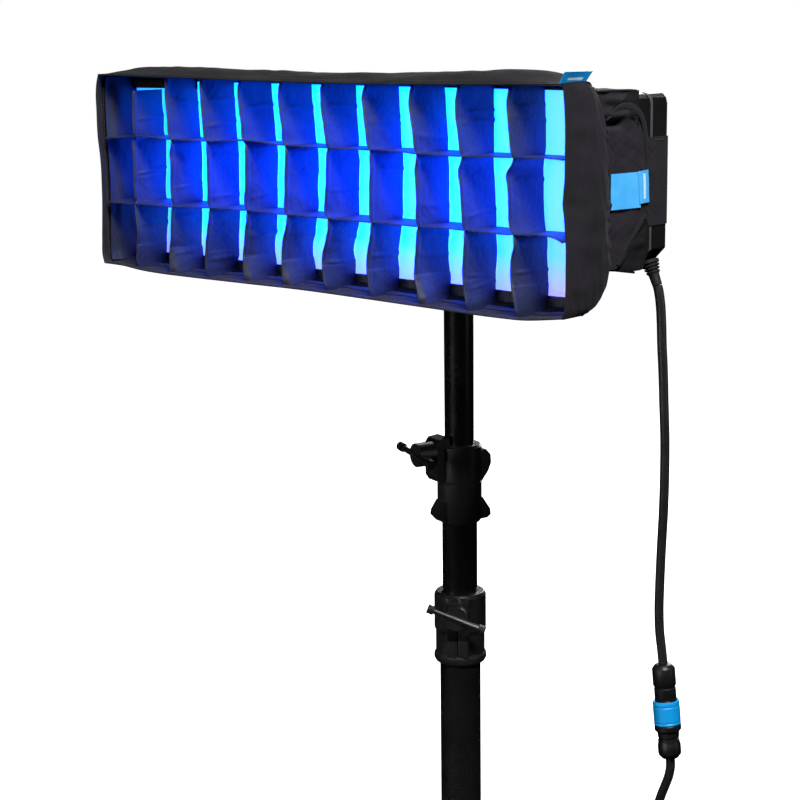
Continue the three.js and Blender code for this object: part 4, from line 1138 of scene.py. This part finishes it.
def end_label_surface(y0, y1, z0, z1, lift, tilt=0.0, skew=0.0):
    u, v = wall_grid(30, 24)
    y = y0 + (y1 - y0) * u + skew * v
    z = z0 + (z1 - z0) * v + tilt * u
    x = ear_x(y) + lift + 0.25 * small_folds(z, y)
    return np.stack([x, y, z], axis=2)


label("label_top_tab", top_label_surface(), "blue_label", (9, 31, 6, 10), ["label_top"])
label("label_end_patch", end_label_surface(-119.4, -95.5, 910.8, 935.9, 1.9, 0.8), "sky_label",
      (0, 0, 0, 0), ["label_end"])
label("label_end_fold", end_label_surface(-97, -86.2, 914.2, 937.0, 2.5, 0.6, -1.4), "sky_label",
      (12, 19, 3, 21), [])

# ---- LED panel -----------------------------------------------------------------------------------

# (CAD node, material, width of its rounded edges in millimetres, steps across them)
PANEL_PARTS = [("panel_frame", "panel", 1.2, 3), ("rear_housing", "panel", 1.6, 3),
               ("light_guide", "acrylic", 0.3, 2), ("led_board", "board", 0.1, 2),
               ("driver_board", "board", 0.1, 2)]
for part in PANEL_PARTS:
    dress(*part)


def panel_loop(grow):
    """The panel's outline, as CAD has it: round corners above and chamfers below."""
    half, low, high = PANEL_HALF + grow, panel_low[2] - grow, panel_high[2] + grow
    top_r, cut_in = 8.0 + grow, 12.0 + 0.4 * grow
    line = [(half - cut_in, low), (half, low + cut_in)]
    line += [(half - top_r + top_r * math.cos(math.radians(a)),
              high - top_r + top_r * math.sin(math.radians(a)))
             for a in range(0, 91, 15)]
    line += [(-half + top_r + top_r * math.cos(math.radians(a)),
              high - top_r + top_r * math.sin(math.radians(a)))
             for a in range(90, 181, 15)]
    return np.array(line + [(-half, low + cut_in), (-half + cut_in, low)])


def seam_band():
    """A strip that covers the joint between the front frame and the back; its pale grey is a painted
    highlight along that edge.
    """
    inner, outer = panel_loop(-0.3), panel_loop(0.28)
    n = len(inner)
    section = [(inner, SEAM - 1.25), (outer, SEAM - 0.95), (outer, SEAM + 0.95), (inner, SEAM + 1.25)]
    points = [(loop[i][0], y, loop[i][1]) for i in range(n) for loop, y in section]
    faces = []
    for i in range(n):
        for j in range(4):
            a, b = (i + 1) % n, (j + 1) % 4
            faces.append([i * 4 + j, a * 4 + j, a * 4 + b, i * 4 + b])
    piece("panel_seam_strip", points, faces, "seam", "head", "panel_plastic", sharp=20)


seam_band()

# ---- back of the panel ---------------------------------------------------------------------------


def back_details():
    """Cooling slots, screws, and a control field with a display window, knobs and buttons on the back."""
    slots = []
    for side in (-1, 1):
        for i in range(9):
            for z in (888, 912):
                x = side * (112 + 7.5 * i)
                slots.append(rounded_block((x - 1.6, PANEL_BACK - 0.2, z),
                                           (x + 1.6, PANEL_BACK + 0.35, z + 18), 0.3))
    piece("cooling_slots", *joined(slots), "rubber", "head", "rubber_black")
    heads = []
    for x in (-240, -125, 125, 240):
        for z in (884, 978):
            heads.append(turned([(0.1, 0.15), (1.2, 0.2), (1.5, 0.75), (2.9, 0.85), (3.1, 0.5),
                                 (3.1, 0.02)],
                                (x, PANEL_BACK, z), (0, 1, 0), 20))
    piece("back_screws", *joined(heads), "zinc", "head", "zinc_steel", sharp=30)
    field = rounded_block((52, PANEL_BACK - 0.3, 900), (96, PANEL_BACK + 0.9, 972), 0.6)
    piece("control_field", *field, "cast", "head", "panel_plastic", sharp=40)
    piece("display_window", *rounded_block((58, PANEL_BACK + 0.5, 944), (90, PANEL_BACK + 1.3, 966), 0.4),
          "tube", "head", "panel_plastic", sharp=40)
    knobs = []
    for z in (928, 911):
        profile = [(6.4, 0.9), (6.6, 1.4), (6.0, 7.4), (5.5, 8.0), (0.1, 8.2)]
        knobs.append(turned(profile, (68, PANEL_BACK, z), (0, 1, 0), 72, grooves(24, 0.05, 1.3, 7.5)))
    for z in (931, 921, 911):
        knobs.append(rounded_block((80, PANEL_BACK + 0.7, z - 2.5), (90, PANEL_BACK + 2.2, z + 2.5), 0.6))
    piece("control_knobs", *joined(knobs), "rubber", "head", "rubber_black", sharp=35)


back_details()

# ---- stand and bracket ---------------------------------------------------------------------------

STAND_PARTS = [("base_column", "tube", 0.3, 2), ("riser_1", "tube", 0.3, 2), ("riser_2", "tube", 0.3, 2),
               ("baby_pin", "zinc", 0.4, 2), ("lower_collar", "cast", 0.9, 3),
               ("upper_collar", "cast", 1.1, 3), ("lower_handle", "cast", 0.8, 3),
               ("upper_handle", "cast", 0.8, 3), ("tilt_yoke", "cast", 0.9, 3),
               ("receiver", "cast", 0.9, 3), ("receiver_knob", "rubber", 0.9, 3),
               ("tilt_bolt", "zinc", 0.3, 2), ("tilt_lever", "cast", 0.8, 3),
               ("base_plug", "cast", 0.8, 3), ("hub_collar", "cast", 0.8, 3)]
for i in (1, 2, 3):
    STAND_PARTS += [(f"leg_{i}", "tube", 0.6, 2), (f"foot_{i}", "rubber", 1.2, 3)]
for part in STAND_PARTS:
    dress(*part)

# The lower clamp screw's direction about the column, in degrees, as LOWER_HANDLE in part.mjs has it.
CLAMP_ANGLE = -53.5
CLAMP_GAP = 0.35
# The pad and the plate as (from the axis, out to, half width, low, high, edge radius).
CLAMP_BLOCKS = [(14, 23.3, 9.6, 506.5, 559, 0.9), (20, 23.9, 8.4, 510.5, 521.5, 0.5)]


def clamp_pad():
    """The split pad that the lower clamp screw pulls together, and the raised plate under the screw."""
    angle = math.radians(CLAMP_ANGLE)
    halves = []
    for inner, outer, half, low, high, radius in CLAMP_BLOCKS:
        for start, end in ((-half, -CLAMP_GAP), (CLAMP_GAP, half)):
            halves.append(rounded_block((inner, start, low), (outer, end, high), radius))
    points, faces = joined(halves)
    points = np.asarray(points, float)
    x = points[:, 0] * math.cos(angle) - points[:, 1] * math.sin(angle)
    y = points[:, 0] * math.sin(angle) + points[:, 1] * math.cos(angle)
    piece("lower_clamp_pad", np.stack([x, y, points[:, 2]], axis=1), faces, "cast", "root", "cast_black",
          sharp=40)


clamp_pad()

# ---- floor, backdrop and light -------------------------------------------------------------------


def floor():
    """A pale floor that glows, brightest away from the stand, so that it runs out into the white behind."""
    s = Shader("pale_floor")
    centre = s.add("ShaderNodeVectorMath", 1, {"operation": "DISTANCE"}, i0=s.place,
                   i1=(AXIS.x, AXIS.y, 0.0))
    away = s.add("ShaderNodeMapRange", 0, {"interpolation_type": "SMOOTHSTEP"}, Value=centre, i1=0.45,
                 i2=1.1, i3=0.55, i4=1.0)
    material = s.finish(color=s.ramp(s.noise(3.0), (0.3, 0.77), (0.7, 0.80)), roughness=0.7, specular=0.1,
                        glow=(1.0, 1.0, 1.0, 1.0), glow_strength=away)
    mesh = bpy.data.meshes.new("floor")
    size = 9.0
    mesh.from_pydata([(-size, -size, 0), (size, -size, 0), (size, size, 0), (-size, size, 0)], [],
                     [(0, 1, 2, 3)])
    mesh.materials.append(material)
    obj = bpy.data.objects.new("floor", mesh)
    obj.visible_glossy = False
    obj.visible_diffuse = False
    bpy.context.scene.collection.objects.link(obj)


floor()

world = bpy.data.worlds.new("studio")
bpy.context.scene.world = world
world.use_nodes = True
world.node_tree.nodes["Background"].inputs["Color"].default_value = (1.0, 1.0, 1.0, 1.0)
world.node_tree.nodes["Background"].inputs["Strength"].default_value = 1.0
world.cycles_visibility.diffuse = False
world.cycles_visibility.glossy = False
world.cycles_visibility.transmission = False


def lamp(name, place, aim, size, power, spread=180):
    data = bpy.data.lights.new(name, "AREA")
    data.shape, data.size, data.size_y = "RECTANGLE", size[0], size[1]
    data.energy, data.spread = power, math.radians(spread)
    obj = bpy.data.objects.new(name, data)
    obj.location = Vector(place)
    obj.rotation_euler = (Vector(aim) - Vector(place)).to_track_quat("-Z", "Y").to_euler()
    bpy.context.scene.collection.objects.link(obj)


lamp("key", (1.8, -1.15, 3.2), (0.2, 0, 0.9), (0.9, 0.9), 185)
lamp("fill", (-0.4, -3.0, 0.8), (0.1, 0, 0.3), (1.6, 1.6), 3.6, spread=26)
lamp("side", (3.0, 1.2, 1.4), (0.1, 0, 0.7), (1.0, 2.0), 9)
lamp("back", (-1.2, 3.2, 2.0), (0.1, 0, 0.7), (1.8, 1.8), 110)

view = bpy.context.scene.view_settings
view.view_transform = "Standard"
view.look = "None"
view.exposure = 0.0
view.gamma = 1.0
